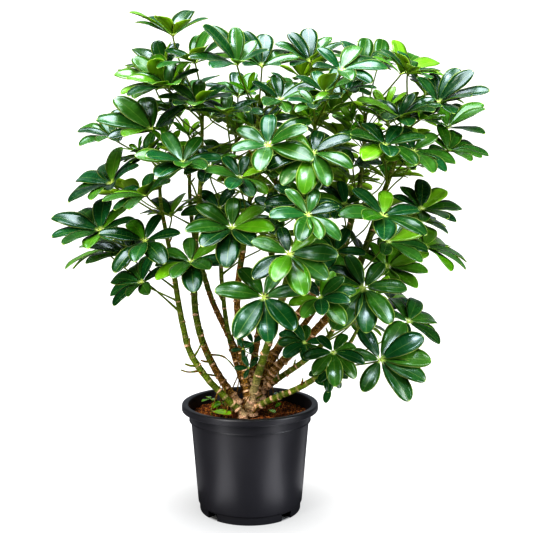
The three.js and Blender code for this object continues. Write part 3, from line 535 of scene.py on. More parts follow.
def chip_tree():
    """Chips strewn over a surface, turned and sized by chance."""
    given, add = new_tree("Chips", Chips="Collection", Chips_per_Square_Metre=30000.0, Smallest=0.5,
                          Largest=1.3, Seed=3, Material="Material")
    spots = add("GeometryNodeDistributePointsOnFaces", given["Geometry"], add(HELD + "BOOLEAN", "top"),
                given["Chips per Square Metre"], given["Seed"])
    chips = add("GeometryNodeCollectionInfo", given["Chips"], True, True)
    turn = add("FunctionNodeRandomValue FLOAT_VECTOR", (-0.5, -0.5, -math.pi), (0.5, 0.5, math.pi),
               Seed=11)
    size = add("FunctionNodeRandomValue", given["Smallest"], given["Largest"], Seed=12)
    chance = add("FunctionNodeRandomValue", 0.0, 1.0, Seed=13)
    marked = add("GeometryNodeStoreNamedAttribute", spots, Name="chance", Value=chance)
    strewn = add("GeometryNodeInstanceOnPoints", marked, Instance=chips, Pick_Instance=True,
                 Rotation=turn, Scale=size)
    return end_tree(add, given["Material"], strewn, given["Geometry"])


# ---- leaves, read from the solids
# The leaf's make in the solids, from which each leaf is read: its hub and the set of its leaflets.
HUB_RADIUS = 4.2 * MM
HUB_HALF_HEIGHT = 2.2 * MM
PETIOLE_RADIUS = 1.5 * MM
BLADE_HALF_THICKNESS = 0.8 * MM
Corner = namedtuple("Corner", "along across")
SHOULDER, WIDEST = Corner(0.42, 0.72), Corner(0.76, 0.98)  # shares of a leaflet's length, half width
MIDDLE = 0.57  # where along it a leaflet's middle is
AROUND_MIDDLE = 8  # corners round it, the crown first and the leaflet's tip fifth
CLOSE, WELD = 0.12 * MM, 0.002 * MM  # how far off a corner may be, and what is one corner
SEEDLING_SCALE = 0.5  # of a seedling's leaf to a grown one


def plane_normal(corners, above):
    """The unit normal of the plane through these corners, on the side of the point above."""
    first, *others = (v.co for v in corners)
    normals = [(a - first).cross(b - first) for a, b in itertools.combinations(others, 2)]
    widest = max(normals, key=lambda n: n.length).normalized()
    return widest if widest.dot(above - first) > 0 else -widest


def read_blade(crown, top, hub, normal, scale):
    """A leaflet's middle, tip and half width, from the ring of corners round its upper middle."""
    following = {loop.link_loop_next.vert: loop.link_loop_prev.vert for loop in top.link_loops}
    ring = [crown]
    while following.get(ring[-1]) not in (None, crown) and len(ring) <= AROUND_MIDDLE:
        ring.append(following[ring[-1]])
    if len(ring) != AROUND_MIDDLE:
        return None
    right, tip, left = (v.co for v in ring[3:6])
    middle = top.co - normal * BLADE_HALF_THICKNESS * scale
    return dict(hub=hub, middle=middle, tip=tip.copy(), side=(left - right) / (2 * WIDEST.across))


def read_petiole(hub, normal, scale, notches, corners):
    """Middles of the petiole's rings from the hub down, to the place where it meets its stem."""
    foot = hub - normal * HUB_HALF_HEIGHT * scale
    ring = [v for v in corners if abs((v.co - foot).length - PETIOLE_RADIUS * scale) < CLOSE
            and abs((v.co - foot).dot(normal)) < CLOSE]
    known = set(notches) | set(ring) | {e.other_vert(v) for v in notches for e in v.link_edges}
    middles = [foot]
    while len(ring) == 3:
        ring = {e.other_vert(v) for v in ring for e in v.link_edges} - known
        known |= set(ring)
        if ring:
            spots = sorted(tuple(v.co) for v in ring)  # in order, so each run gives the same sum
            middles.append(sum(map(Vector, spots), Vector()) / len(ring))
    return middles


def read_leaves(node):
    """Every leaf of a node: its hub, normal and leaflets, and the way that its petiole takes."""
    scale = SEEDLING_SCALE if node in SPROUTS else 1.0
    shape = bmesh.new()
    shape.from_mesh(frame["nodes"][node].data)
    bmesh.ops.remove_doubles(shape, verts=shape.verts, dist=WELD)
    notch_reach = math.hypot(HUB_RADIUS, HUB_HALF_HEIGHT) * scale
    leaves = []
    for crown in shape.verts:
        around = [e.other_vert(crown) for e in crown.link_edges]
        notches = [v for v in around if abs((v.co - crown.co).length - notch_reach) < CLOSE]
        tops = [v for v in around if v not in notches]
        if len(notches) < 3 or len(notches) != len(tops):
            continue
        normal = plane_normal(notches, crown.co)
        hub = crown.co - normal * HUB_HALF_HEIGHT * scale
        blades = [b for b in (read_blade(crown, top, hub, normal, scale) for top in tops) if b]
        near = [v for v in shape.verts if (v.co - hub).length < 2 * HUB_RADIUS * scale]
        petiole = read_petiole(hub, normal, scale, notches, near)
        leaves.append(dict(hub=hub, normal=normal, blades=blades, petiole=petiole, scale=scale))
    shape.free()
    return leaves


# ---- leaflets beyond the solids

BladePose = namedtuple("BladePose", "turn lift droop length slim")
LEAFLETS = (7, 8, 8, 9)  # how many a grown leaf may have
LEAST_TURN = math.radians(50)  # between two neighbours that another leaflet may come between
BACK_WIDER = 0.25  # how much wider a gap may be for each radian it is off the leaf's longest side
FILL_TURN, FILL_LIFT = 0.06, 0.14  # how far chance moves an added leaflet
FILL_LENGTH = (0.86, 1.0)  # what chance picks its length from, to its neighbours' mean
BENDS = tuple(math.radians(b) for b in (0, 9, -9, 18, -18, 28, -28, 40))
STALK_FREE = 0.5  # share of the way to a leaflet's middle where it may come near anything
PLACES = ("hub", "middle", "tip", "side")  # what says where a leaflet is
# What chance picks a young leaf's make from, in mm and degrees: how far below the shoot's tip it
# grows, its petiole's length, its leaflets' length and how far they lift. YOUNG_RISE is the same for
# its petiole's slope, and YOUNG_FACE turns its upper side to the light.
YOUNG_BELOW, YOUNG_PETIOLE, YOUNG_LENGTH, YOUNG_LIFT = (1, 45), (28, 62), (30, 50), (28, 52)
YOUNG_RISE, YOUNG_FACE = (0.7, 1.6), Vector((0, -0.5, 0.6))
YOUNG_SCALE, SPRIG_SCALE = 0.75, 0.6  # of their hubs and petioles to a grown leaf's
YOUNG_SLIM, SPRIG_SLIM = 0.17, 0.2  # half width of their leaflets to the length
TO_LIGHT = 0.25  # how far young leaves lean to the front
YOUNG_DROOP, SPRIG_DROOP = math.radians(14), math.radians(16)


class Thicket:
    """Stems, petioles and leaflets that are there already, which no new leaflet may cross."""

    def __init__(self):
        corners, faces = [], []
        for name, solid in frame["nodes"].items():
            if name.startswith(("shoot_", "trunk_")):
                faces += [[len(corners) + i for i in face.vertices] for face in solid.data.polygons]
                corners += [corner.co.copy() for corner in solid.data.vertices]
        self.trees = [(Vector(), math.inf, BVHTree.FromPolygons(corners, faces))]

    def has_room(self, blade):
        """Whether nothing is in this leaflet's way, and it is in the part's box. It then stays."""
        hub, middle, tip, side = (blade[key] for key in PLACES)
        low = hub.lerp(middle, SHOULDER.along / MIDDLE)
        high = middle.lerp(tip, (WIDEST.along - MIDDLE) / (1 - MIDDLE))
        # Six corners round it, and its middle.
        corners = [hub.lerp(middle, STALK_FREE), low + side * SHOULDER.across, high + side * WIDEST.across,
                   tip, high - side * WIDEST.across, low - side * SHOULDER.across, middle]
        if not all(CAD_BOX[0][i] < corner[i] < CAD_BOX[1][i] for corner in corners for i in range(3)):
            return False
        tree = BVHTree.FromPolygons(corners, [(i, (i + 1) % 6, 6) for i in range(6)])
        reach = (tip - hub).length / 2
        if any((there - middle).length < reach + size and tree.overlap(other)
               for there, size, other in self.trees):
            return False
        self.trees.append((middle, reach, tree))
        return True


def pose_of(leaf, blade, ahead):
    """How a leaflet is set: its turn round the hub, lift, bend, length, and half width as a share."""
    normal = leaf["normal"]
    inner, outer = blade["middle"] - leaf["hub"], blade["tip"] - blade["middle"]
    turn = math.atan2(inner.dot(normal.cross(ahead)), inner.dot(ahead)) % (2 * math.pi)
    lift, onward = (math.asin(way.dot(normal) / way.length) for way in (inner, outer))
    length = inner.length + outer.length
    return BladePose(turn, lift, lift - onward, length, blade["side"].length / length)


def blade_from(leaf, pose, ahead):
    """A leaflet that is set like this."""
    hub, normal = leaf["hub"], leaf["normal"]
    outward = Quaternion(normal, pose.turn) @ ahead
    inner, outer = (outward * math.cos(angle) + normal * math.sin(angle)
                    for angle in (pose.lift, pose.lift - pose.droop))
    middle = hub + inner * (MIDDLE * pose.length)
    return dict(hub=hub, middle=middle, tip=middle + outer * ((1 - MIDDLE) * pose.length),
                side=normal.cross(outward) * (pose.slim * pose.length))


def set_blade(leaf, pose, ahead, thicket):
    """Adds a leaflet to the leaf, bent as little as it takes to clear what is there, if it can."""
    for bend in BENDS:
        blade = blade_from(leaf, pose._replace(lift=pose.lift + bend), ahead)
        if thicket.has_room(blade):
            leaf["blades"].append(blade)
            return


def fill_leaf(leaf, thicket, chance):
    """Adds the leaflets that lie between those of the solids, first where the leaf is longest."""
    longest = max(leaf["blades"], key=lambda blade: (blade["tip"] - leaf["hub"]).length)
    ahead = longest["middle"] - leaf["hub"]
    ahead = (ahead - leaf["normal"] * ahead.dot(leaf["normal"])).normalized()
    ring = sorted(pose_of(leaf, blade, ahead) for blade in leaf["blades"])
    wanted = chance.choice(LEAFLETS)

    def room(pair):
        one, other = pair
        halfway = (one.turn + other.turn) / 2
        return other.turn - one.turn - BACK_WIDER * min(halfway, 2 * math.pi - halfway)

    while len(ring) < wanted:
        pairs = zip(ring, [*ring[1:], ring[0]._replace(turn=ring[0].turn + 2 * math.pi)])
        wide = [pair for pair in pairs if pair[1].turn - pair[0].turn > LEAST_TURN]
        if not wide:
            break
        turn, lift, droop, length, slim = ((a + b) / 2 for a, b in zip(*max(wide, key=room)))
        pose = BladePose(turn + chance.uniform(-FILL_TURN, FILL_TURN),
                         lift + chance.uniform(-FILL_LIFT, FILL_LIFT), droop,
                         length * chance.uniform(*FILL_LENGTH), slim)
        set_blade(leaf, pose, ahead, thicket)
        ring = sorted([*ring, pose])


def new_leaf(hub, normal, root, bow, scale, **more):
    """A leaf without leaflets yet: its petiole runs from the hub past the point bow to the root."""
    return dict(hub=hub, normal=normal, blades=[], petiole=[hub - normal * HUB_HALF_HEIGHT, bow, root],
                scale=scale, **more)


def young_leaf(stem, thicket, chance):
    """A young leaf by the tip of a shoot: small, cupped and still upright, or None without room."""
    root = stem.at(stem.length - chance.uniform(*YOUNG_BELOW) * MM)
    bearing, rise = chance.uniform(0, 2 * math.pi), chance.uniform(*YOUNG_RISE)
    way = Vector((math.cos(bearing), math.sin(bearing) - TO_LIGHT, rise)).normalized()
    reach = chance.uniform(*YOUNG_PETIOLE) * MM
    hub = root + way * reach
    normal = (way + YOUNG_FACE).normalized()
    leaf = new_leaf(hub, normal, root, root.lerp(hub, 0.55) + way * 0.04 * reach, YOUNG_SCALE,
                    age=chance.uniform(0.0, 0.3))
    ahead = normal.orthogonal().normalized()
    length, count = chance.uniform(*YOUNG_LENGTH) * MM, chance.choice((5, 6, 7))
    for i in range(count):
        lift = math.radians(chance.uniform(*YOUNG_LIFT))
        set_blade(leaf, BladePose(2 * math.pi * i / count, lift, YOUNG_DROOP,
                                  length * chance.uniform(0.8, 1), YOUNG_SLIM), ahead, thicket)
    return leaf if len(leaf["blades"]) >= count - 1 else None


def sprig(stem, spot, count, length, thicket, chance):
    """A small late leaf low on a stem, turned to the light."""
    hub = place(spot)
    root = stem.at(stem.nearest(hub - UP * 14 * MM))
    normal = (Vector((chance.uniform(-0.3, 0.3), -0.75, 0.65))).normalized()
    leaf = new_leaf(hub, normal, root, root.lerp(hub, 0.6) - UP * 3 * MM, SPRIG_SCALE, age=1.2, odd=0.0)
    ahead, turn = Quaternion(normal, chance.uniform(0, math.pi)) @ normal.orthogonal().normalized(), 0.0
    for _ in range(count):
        turn += 2 * math.pi / (count + 1) * chance.uniform(0.9, 1.15)
        lift = math.radians(chance.uniform(0, 22))
        set_blade(leaf, BladePose(turn, lift, SPRIG_DROOP, length * MM * chance.uniform(0.8, 1.1),
                                  SPRIG_SLIM), ahead, thicket)
    return leaf


# ---- routes of the stems

STEM_DEPTH = 58 * MM  # how far a stem goes on below the first point of its route, in the mix
MIX_EDGE, MIX_TOP = 168 * MM, 172 * MM  # height of the mix at the wall and at the stems
CURVE_STEPS = 40  # between two points of a route
FOOT_REACH = 40 * MM  # how far up from the mix a stem's foot is thicker than the rest
WAY_STEP = 1.5 * MM  # from a place on a stem to either place that its way there is read from


def smooth_route(points):
    """Points along the centripetal curve through these points, CURVE_STEPS from one to the next."""
    reached = [points[0] * 2 - points[1], *points, points[-1] * 2 - points[-2]]
    route = []
    for before, start, end, after in zip(reached, reached[1:], reached[2:], reached[3:]):
        gaps = [max((b - a).length ** 0.5, 1e-4) for a, b in
                ((before, start), (start, end), (end, after))]
        leave = ((start - before) / gaps[0] - (end - before) / (gaps[0] + gaps[1])
                 + (end - start) / gaps[1]) * gaps[1]
        arrive = ((end - start) / gaps[1] - (after - start) / (gaps[1] + gaps[2])
                  + (after - end) / gaps[2]) * gaps[1]
        for t in (step / CURVE_STEPS for step in range(CURVE_STEPS)):
            route.append(start + leave * t + (end * 3 - start * 3 - leave * 2 - arrive) * t ** 2
                         + (start * 2 - end * 2 + leave + arrive) * t ** 3)
    return route + [points[-1]]


class Stem:
    """A stem's route, thickness and colour at any distance from its start."""

    def __init__(self, name, trunk, radii, brown, pale, wood, shoot):
        self.name, self.trunk, self.foot = name, trunk, 0.0
        wood = [place(spot) for spot in wood]
        if name == trunk:
            wood.insert(0, wood[0] - UP * STEM_DEPTH)
            self.foot = STEM_DEPTH
        points = smooth_route(wood + [place(spot) for spot in shoot])
        self.points = np.array(points)
        self.reached = np.cumsum([0, *((b - a).length for a, b in zip(points, points[1:]))])
        self.wood_end, self.length = self.reached[len(wood) * CURVE_STEPS], self.reached[-1]
        self.radii = [radius * MM for radius in radii]
        self.pale_reach, self.brown_end = pale * MM, brown * self.length

    def at(self, distance):
        """The point of its middle line at this distance. Its way and radius are read there too."""
        return Vector([np.interp(distance, self.reached, self.points[:, i]) for i in range(3)])

    def way(self, distance):
        before, after = max(distance - WAY_STEP, 0), min(distance + WAY_STEP, self.length)
        return (self.at(after) - self.at(before)).normalized()

    def radius(self, distance):
        places = [self.foot, self.foot + FOOT_REACH, self.wood_end, self.length]
        return float(np.interp(distance, places, self.radii))

    def nearest(self, spot):
        """The distance along the stem of the place nearest to this spot."""
        return self.reached[int(np.argmin(np.linalg.norm(self.points - np.array(spot), axis=1)))]


STEMS = {name: Stem(name, *row) for name, row in ROUTES.items()}
TRUNKS = tuple(dict.fromkeys(stem.trunk for stem in STEMS.values()))

RING_STEP = 1.5 * MM  # from one ring of a stem's corners to the next
NODE_REACH = 2.6 * MM  # how far a node's swelling reaches along the stem
SCAR_LINE = 1.7 * MM  # half the width of the pale line round a node
STUMP_REACH = 35 * MM  # how far up a stem its knobs and pale rings stay strong
STUMP_KNOBS = 6  # how much more its nodes swell at the very foot
RING_SHARE = 0.22  # how strong the rings are high up
PALEST = 0.9  # how much of the skin is pale cork at the foot
BUD, BUD_TIP = 9 * MM, 0.25  # length of the point at a shoot's tip, and its end's share of the radius
BROWN_FADE = 0.16  # share of a stem over which brown turns to green
CROWDED = 220 * MM  # nodes are crowded this far up from a stem's foot
FIRST_NODE, LAST_NODE = 0.4, 0.3  # how far in from a stretch's ends its nodes are, to their spacing
NEAREST = 0.45  # how close the lowest nodes are, to their spacing high up
NODE_SPREAD = (0.75, 1.3)  # how far chance stretches the way from one node to the next
SKIN_DEPTH = 0.7  # where a stub or a root starts, to the stem's radius
GOLDEN_ANGLE = math.radians(137.5)  # from one leaf round the stem to the next
SCAR_TALL, SCAR_TILT, SCAR_TURN = (0.7, 1.5), 0.16, 0.5  # how far chance stretches and turns a scar
# What chance picks stubs and roots from, in mm: a stub's length, how far up a stem a root starts, how
# far out it lands and how far it bows. Then the radii of each at its start and its end.
STUB_REACH, ROOT_START, ROOT_SPREAD, ROOT_BOW = (7, 22), (12, 62), (6, 22), (2, 9)
STUB_RADII, TWIG_RADII, ROOT_RADII = ((start * MM, end * MM) for start, end in
                                      ((2.2, 1.2), (1.9, 1.0), (1.0, 0.5)))
UNSCARRED = dict(way=UP, pad=UP, turn=0.0, scarred=False)


def tube_lines(tubes):
    """One mesh of lines from tubes, each a list of dicts that say what its points hold."""
    points, edges = [], []
    for tube in tubes:
        edges += [(len(points) + i, len(points) + i + 1) for i in range(len(tube) - 1)]
        points += [spot["at"] for spot in tube]
    mesh = mesh_from("lines", points, edges=edges)
    for key in (key for key in tubes[0][0] if key != "at"):
        set_attribute(mesh, key, [spot[key] for tube in tubes for spot in tube])
    return mesh


def node_places(start, end, spacing, chance):
    """Where along a stem its leaves grow or grew: close together low down, wider apart above."""
    places, distance = [], start + spacing * FIRST_NODE
    while distance < end - spacing * LAST_NODE:
        places.append(distance)
        distance += spacing * min(1.0, NEAREST + distance / CROWDED) * chance.uniform(*NODE_SPREAD)
    return places


def stem_tube(stem, start, end, settings, chance):
    """A stretch of a stem with a swollen node under every scar, and a bud's point at its tip."""
    nodes = node_places(start, end, settings.scar_spacing, chance)
    count = max(4, round((end - start) / RING_STEP))
    spots = [start + (end - start) * i / count for i in range(count + 1)]
    marked = {int(np.argmin([abs(s - n) for s in spots])): k for k, n in enumerate(nodes)}
    tube = []
    for i, s in enumerate(spots):
        off, above = min((abs(s - n) for n in nodes), default=1.0), max(0, s - stem.foot)
        swelling = settings.node_swelling * (1 + STUMP_KNOBS * math.exp(-above / STUMP_REACH))
        radius = stem.radius(s) * (1 + swelling * math.exp(-(off / NODE_REACH) ** 2))
        if end == stem.length:
            radius *= min(1.0, BUD_TIP + (end - s) / BUD)
        wood = np.clip((stem.brown_end - s) / (BROWN_FADE * stem.length) + 0.5, 0, 1)
        ringed = RING_SHARE + (1 - RING_SHARE) * math.exp(-above / (STUMP_REACH + stem.pale_reach))
        scar = max(ringed * math.exp(-(off / SCAR_LINE) ** 2),
                   PALEST * math.exp(-(above / stem.pale_reach) ** 2))
        tall = chance.uniform(*SCAR_TALL)
        tilt = Vector([chance.uniform(-SCAR_TILT, SCAR_TILT) for _ in range(3)])
        tube.append(dict(at=stem.at(s), radius=radius, wood=wood, scar=scar, route=s,
                         way=stem.way(s) + tilt, pad=Vector((radius, radius, radius * tall)),
                         turn=marked.get(i, 0) * GOLDEN_ANGLE + chance.uniform(-SCAR_TURN, SCAR_TURN),
                         scarred=i in marked))
    return tube


def strand(points, radii, wood):
    """A thin strand of the same skin through these points, such as a stub or a root."""
    route = smooth_route(points)[::CURVE_STEPS // 4]
    return [dict(at=at, radius=float(np.interp(i / (len(route) - 1), [0, 1], radii)), wood=wood, scar=0.0,
                 route=i * MM, **UNSCARRED) for i, at in enumerate(route)]


def beside(stem, distance, chance):
    """A place just under a stem's skin, and the way out from there."""
    way = stem.way(distance)
    out = Quaternion(way, chance.uniform(0, 2 * math.pi)) @ way.orthogonal().normalized()
    return stem.at(distance) + out * stem.radius(distance) * SKIN_DEPTH, out, way


def stubs(stem, start, end, settings, chance):
    """What is left of fallen leaves' stalks: dry stubs that stick up and out of some nodes."""
    made = []
    for distance in node_places(start, end, settings.scar_spacing, chance):
        if chance.random() < settings.stub_share:
            root, out, way = beside(stem, distance, chance)
            aim = (out + way * chance.uniform(0.2, 1.2)).normalized()
            reach = chance.uniform(*STUB_REACH) * MM
            points = [root, root + aim * reach * 0.5, root + aim * reach + UP * 0.12 * reach]
            made.append(strand(points, STUB_RADII, chance.uniform(0.2, 0.7)))
    for owner, spots in TWIGS:
        first, *rest = (place(spot) for spot in spots)
        distance = stem.nearest(first)
        if owner == stem.name and start <= distance < end:
            made.append(strand([stem.at(distance), *rest], TWIG_RADII, 0.5))
    return made


def roots(stem, settings, chance):
    """Fine roots that hang from a stem's foot down to the mix."""
    made = []
    for _ in range(settings.roots_per_stem):
        root, out, _ = beside(stem, STEM_DEPTH + chance.uniform(*ROOT_START) * MM, chance)
        foot = Vector((root.x, root.y, 0)) + out * chance.uniform(*ROOT_SPREAD) * MM
        foot.z = MIX_TOP - 4 * MM
        bow = root.lerp(foot, 0.5) + out * chance.uniform(*ROOT_BOW) * MM
        made.append(strand([root, bow, foot], ROOT_RADII, 1.0))
    return made


def scar_pad():
    """A leaf scar for a stem of radius 1: a corky shield on one side, proudest at its dark lower lip."""
    spread, steps, sunk = math.radians(68), 8, 0.96
    middle, end, hang = 0.34, 0.03, 0.22  # its half height there, and how far its ends hang down
    # Its rows from the lowest up: height, radius, and how pale each is.
    rows = ((-1.0, 0.96, 0.0), (-0.7, 1.24, 0.1), (-0.3, 1.18, 1.0), (0.6, 1.06, 1.0), (1.0, 0.95, 0.4))
    points, faces, count = [], [], len(rows)
    for share in (2 * i / steps - 1 for i in range(steps + 1)):
        half = middle * (1 - abs(share) ** 2.2) + end
        for z, proud, _ in rows:
            out = sunk + (proud - sunk) * (1 - share ** 4)
            points.append((out * math.cos(share * spread), out * math.sin(share * spread),
                           z * half - hang * share ** 2))
    for a in range(0, steps * count, count):
        faces += [(a + k, a + k + count, a + k + count + 1, a + k + 1) for k in range(count - 1)]
        faces.append((a + count - 1, a + 2 * count - 1, a + count, a))
    faces += [tuple(range(count)), tuple(steps * count + k for k in reversed(range(count)))]
    mesh = mesh_from("scar_pad", points, faces=faces)
    set_attribute(mesh, "scar", [scar for _, _, scar in rows] * (steps + 1))
    for key, value in (("wood", 0.8), ("route", 0.0)):
        set_attribute(mesh, key, [value] * len(points))
    return linked("scar_pad", mesh)


# ---- leaflets and petioles

STALK_SHARE = 0.055  # how much of a leaflet's length is its stalk
STALK_WIDTH, STALK_THICK, BLADE_THICK = 0.07, 0.07, 0.045  # to the half width of the leaflet
GROOVE = 0.03  # depth of the groove over the midrib
KEEL = 1.2  # how far the midrib stands out below, to the thickness
LEAF_ROWS = (-1.0, -0.55, 0.0, 0.55, 1.0)  # of corners on the upper side, from margin to margin
LEAF_STATIONS = (0.0, 0.035, 0.07, 0.15, 0.32, 0.46, 0.6, 0.72, 0.82, 0.9, 0.955, 0.988)
ODD_LEAFLETS = 0.1  # share of leaflets much lighter than their leaf: a fresher colour, and partly painted light, as of a leaflet lit through from behind
ODD_LIGHTER = 0.45  # how much younger in colour, which also paints them lighter as if lit through
AGE_SPREAD = (-0.22, 0.1)  # how much younger or older than its leaf chance makes a leaflet
PETIOLE_STEPS, PETIOLE_SIDES = 11, 7
# How much thicker a petiole is at its foot and at its hub, and over what share of its length.
FOOT_FLARE, HUB_FLARE = (0.75, 0.06), (1.3, 0.04)
SLENDER = 0.92  # how thick a petiole is between them, to the solids'


def blade_half_width(along):
    """The outline of a leaflet, 1 at its widest: a wedge from the stalk, blunt and round at the tip."""
    share = (along - STALK_SHARE) / (1 - STALK_SHARE)
    if share <= 0:
        return STALK_WIDTH
    base, end = 0.78, 0.6
    widest = base / (base + end)
    return max(STALK_WIDTH, (share / widest) ** base * ((1 - share) / (1 - widest)) ** end)


def unit_blade():
    """A leaflet of length 1 and half width 1, closed, lens-thin, with leafmap stored on it: along,
    across, and a third that is below 0 on the underside."""
    points, leafmap, faces = [], [], []
    for along in LEAF_STATIONS:
        half, leafy = blade_half_width(along), along > STALK_SHARE
        thick = BLADE_THICK if leafy else STALK_THICK
        for share in LEAF_ROWS:
            crown = thick * (1 - share ** 2) - (GROOVE if share == 0 and leafy else 0)
            points.append((along, share * half, crown))
            leafmap.append((along, share, 1 - abs(share)))
        points.append((along, 0, -thick * KEEL))
        leafmap.append((along, 0, -1))
    tip, row = len(points), len(LEAF_ROWS) + 1
    points.append((1, 0, 0))
    leafmap.append((1, 0, 0))
    last = tip - row
    for a in range(0, last, row):
        faces += [(a + k, a + row + k, a + row + k + 1, a + k + 1) for k in range(row - 1)]
        faces.append((a + row - 1, a + 2 * row - 1, a + row, a))
    faces += [(last + k, tip, last + k + 1) for k in range(row - 1)]
    faces += [(tip - 1, tip, last), tuple(range(row))]
    mesh = mesh_from("unit_blade", points, faces=faces)
    set_attribute(mesh, "leafmap", leafmap)
    return linked("unit_blade", mesh)


def blade_points(leaves, chance):
    """A mesh of points, one for each leaflet, holding what the leaflet tree asks for."""
    held = {key: [] for key in (*PLACES, "age", "tint", "phase")}
    for leaf in leaves:
        for blade in leaf["blades"]:
            # A few leaflets are made lighter than their leaf: fresher, and partly painted light shining
            # through them.
            odd = chance.random() < leaf.get("odd", ODD_LEAFLETS)
            age = leaf["age"] + chance.uniform(*AGE_SPREAD) - ODD_LIGHTER * odd
            looks = (min(1.0, max(0.0, age)), chance.random(), chance.uniform(0, 2 * math.pi))
            for key, value in zip(held, (*(blade[key] for key in PLACES), *looks)):
                held[key].append(value)
    mesh = mesh_from("blade_points", held["hub"])
    for key, values in held.items():
        set_attribute(mesh, key, values)
    return mesh


def petiole_tube(leaf, root):
    """A petiole from inside its stem up to the hub, thicker at both ends."""
    route = smooth_route([root, *reversed(leaf["petiole"][:-1]), leaf["hub"]])
    tube = []
    for share in (i / PETIOLE_STEPS for i in range(PETIOLE_STEPS + 1)):
        ends = (FOOT_FLARE[0] * math.exp(-share / FOOT_FLARE[1])
                + HUB_FLARE[0] * math.exp(-(1 - share) / HUB_FLARE[1]))
        tube.append(dict(at=route[round(share * (len(route) - 1))], reach=share, **UNSCARRED,
                         radius=PETIOLE_RADIUS * leaf["scale"] * (SLENDER + ends)))
    return tube


class LeafMaker:
    """What petioles and leaflets are made with. Each set of them is grown as two pieces."""

    def __init__(self, context, material):
        self.stems, self.settings = context.scene.plant_stems, context.scene.plant_leaves
        self.tubes, self.leaflets, self.blade = tube_tree(), leaflet_tree(), unit_blade()
        self.stalk, self.waxy = sheeny_stalk(self.stems), waxy_leaf(material, self.settings)

    def grow_leaves(self, names, slot, node, leaves, lines, chance):
        grow(names[0], slot, node, tube_lines(lines), self.tubes, Sides=PETIOLE_SIDES, Material=self.stalk)
        grow(names[1], slot, node, blade_points(leaves, chance), self.leaflets, Blade=self.blade,
             Fold=self.settings.fold, Wave=self.settings.wave, Material=self.waxy)


# ---- settings
LENGTH, POWER = dict(subtype="DISTANCE", unit="LENGTH"), dict(unit="POWER")


def setting(name, description, default, **unit):
    """A property: a colour where its default is a colour's code, and otherwise a number."""
    if isinstance(default, str):
        return bpy.props.FloatVectorProperty(name=name, description=description, subtype="COLOR", size=3,
                                             default=linear(default)[:3], min=0.0, max=1.0)
    kind = bpy.props.IntProperty if isinstance(default, int) else bpy.props.FloatProperty
    return kind(name=name, description=description, default=default, min=0, **unit)


class PotSettings(bpy.types.PropertyGroup):
    """Sizes and colours of the nursery pot."""

    wall: setting("Wall", "Thickness of the pot's wall", 2.2 * MM, **LENGTH)
    rim_rounding: setting("Rim rounding", "Radius of the rim's edges", 2.5 * MM, **LENGTH)
    colour: setting("Plastic", "Colour of the plastic", "#1f1e22")
    worn_colour: setting("Scuffed plastic", "Where the skin is a little scuffed", "#28272b")


class MixSettings(bpy.types.PropertyGroup):
    """Sizes and colours of the potting mix."""

    chip_length: setting("Chip length", "Length of a middling chip", 7 * MM, **LENGTH)
    chips_per_area: setting("Chips per square metre", "How thickly the chips are strewn", 80000.0)
    dark_colour: setting("Darkest chips", "Wet chips and fines", "#3a1b08")
    colour: setting("Chips", "Most of the chips", "#98521f")
    light_colour: setting("Lightest chips", "Dry chips and coir", "#cc8a40")


class StemSettings(bpy.types.PropertyGroup):
    """Sizes and colours of stems and petioles."""

    scar_spacing: setting("Scar spacing", "From one leaf scar to the next", 18 * MM, **LENGTH)
    node_swelling: setting("Node swelling", "Extra radius at a scar, as a share", 0.04)
    stub_share: setting("Stubs", "Share of the nodes that still have a dry stub", 0.3)
    roots_per_stem: setting("Roots", "Fine roots at a stem's foot", 7)
    bark_relief: setting("Bark relief", "How far the bark rises and falls", 2.2 * MM, **LENGTH)
    cork_dark: setting("Dark cork", "Furrows of the bark", "#1e1405")
    cork_light: setting("Light cork", "Ridges of the bark", "#a1782f")
    green_dark: setting("Dark green", "Shaded skin of green stems", "#1d2e02")
    green_light: setting("Light green", "Bright skin of green stems", "#849812")
    scar_colour: setting("Leaf scars", "Pale cork of leaf scars", "#efc6a6")
    hub_colour: setting("Leaf hub", "Where the leaflets' stalks meet", "#a9a854")


class LeafSettings(bpy.types.PropertyGroup):
    """Shape and colours of the leaflets."""

    fold: setting("Fold", "How far a leaflet's halves rise from its midrib", 0.2)
    wave: setting("Wave", "How much a leaflet's margin ripples", 0.07)
    seedling_length: setting("Seedling length", "How much longer a seedling's leaflets are", 1.15)
    seedling_breadth: setting("Seedling breadth", "How much broader a seedling's leaflets are", 1.7)
    mature_dark: setting("Mature, dark", "Upper side of the darkest leaves", "#082f10")
    mature_light: setting("Mature, light", "Upper side of lighter mature leaves", "#144c24")
    young_dark: setting("Young, dark", "Upper side of half-grown leaves", "#437f08")
    young_light: setting("Young, light", "Upper side of the newest leaves", "#82b010")
    # The underside's own yellow-green, made brighter as painted light shining through the leaf from behind.
    underside: setting("Underside", "Underside of mature leaves", "#82a814")
    rib_colour: setting("Midrib", "Midrib, leaflet stalk and margin", "#b4c468")


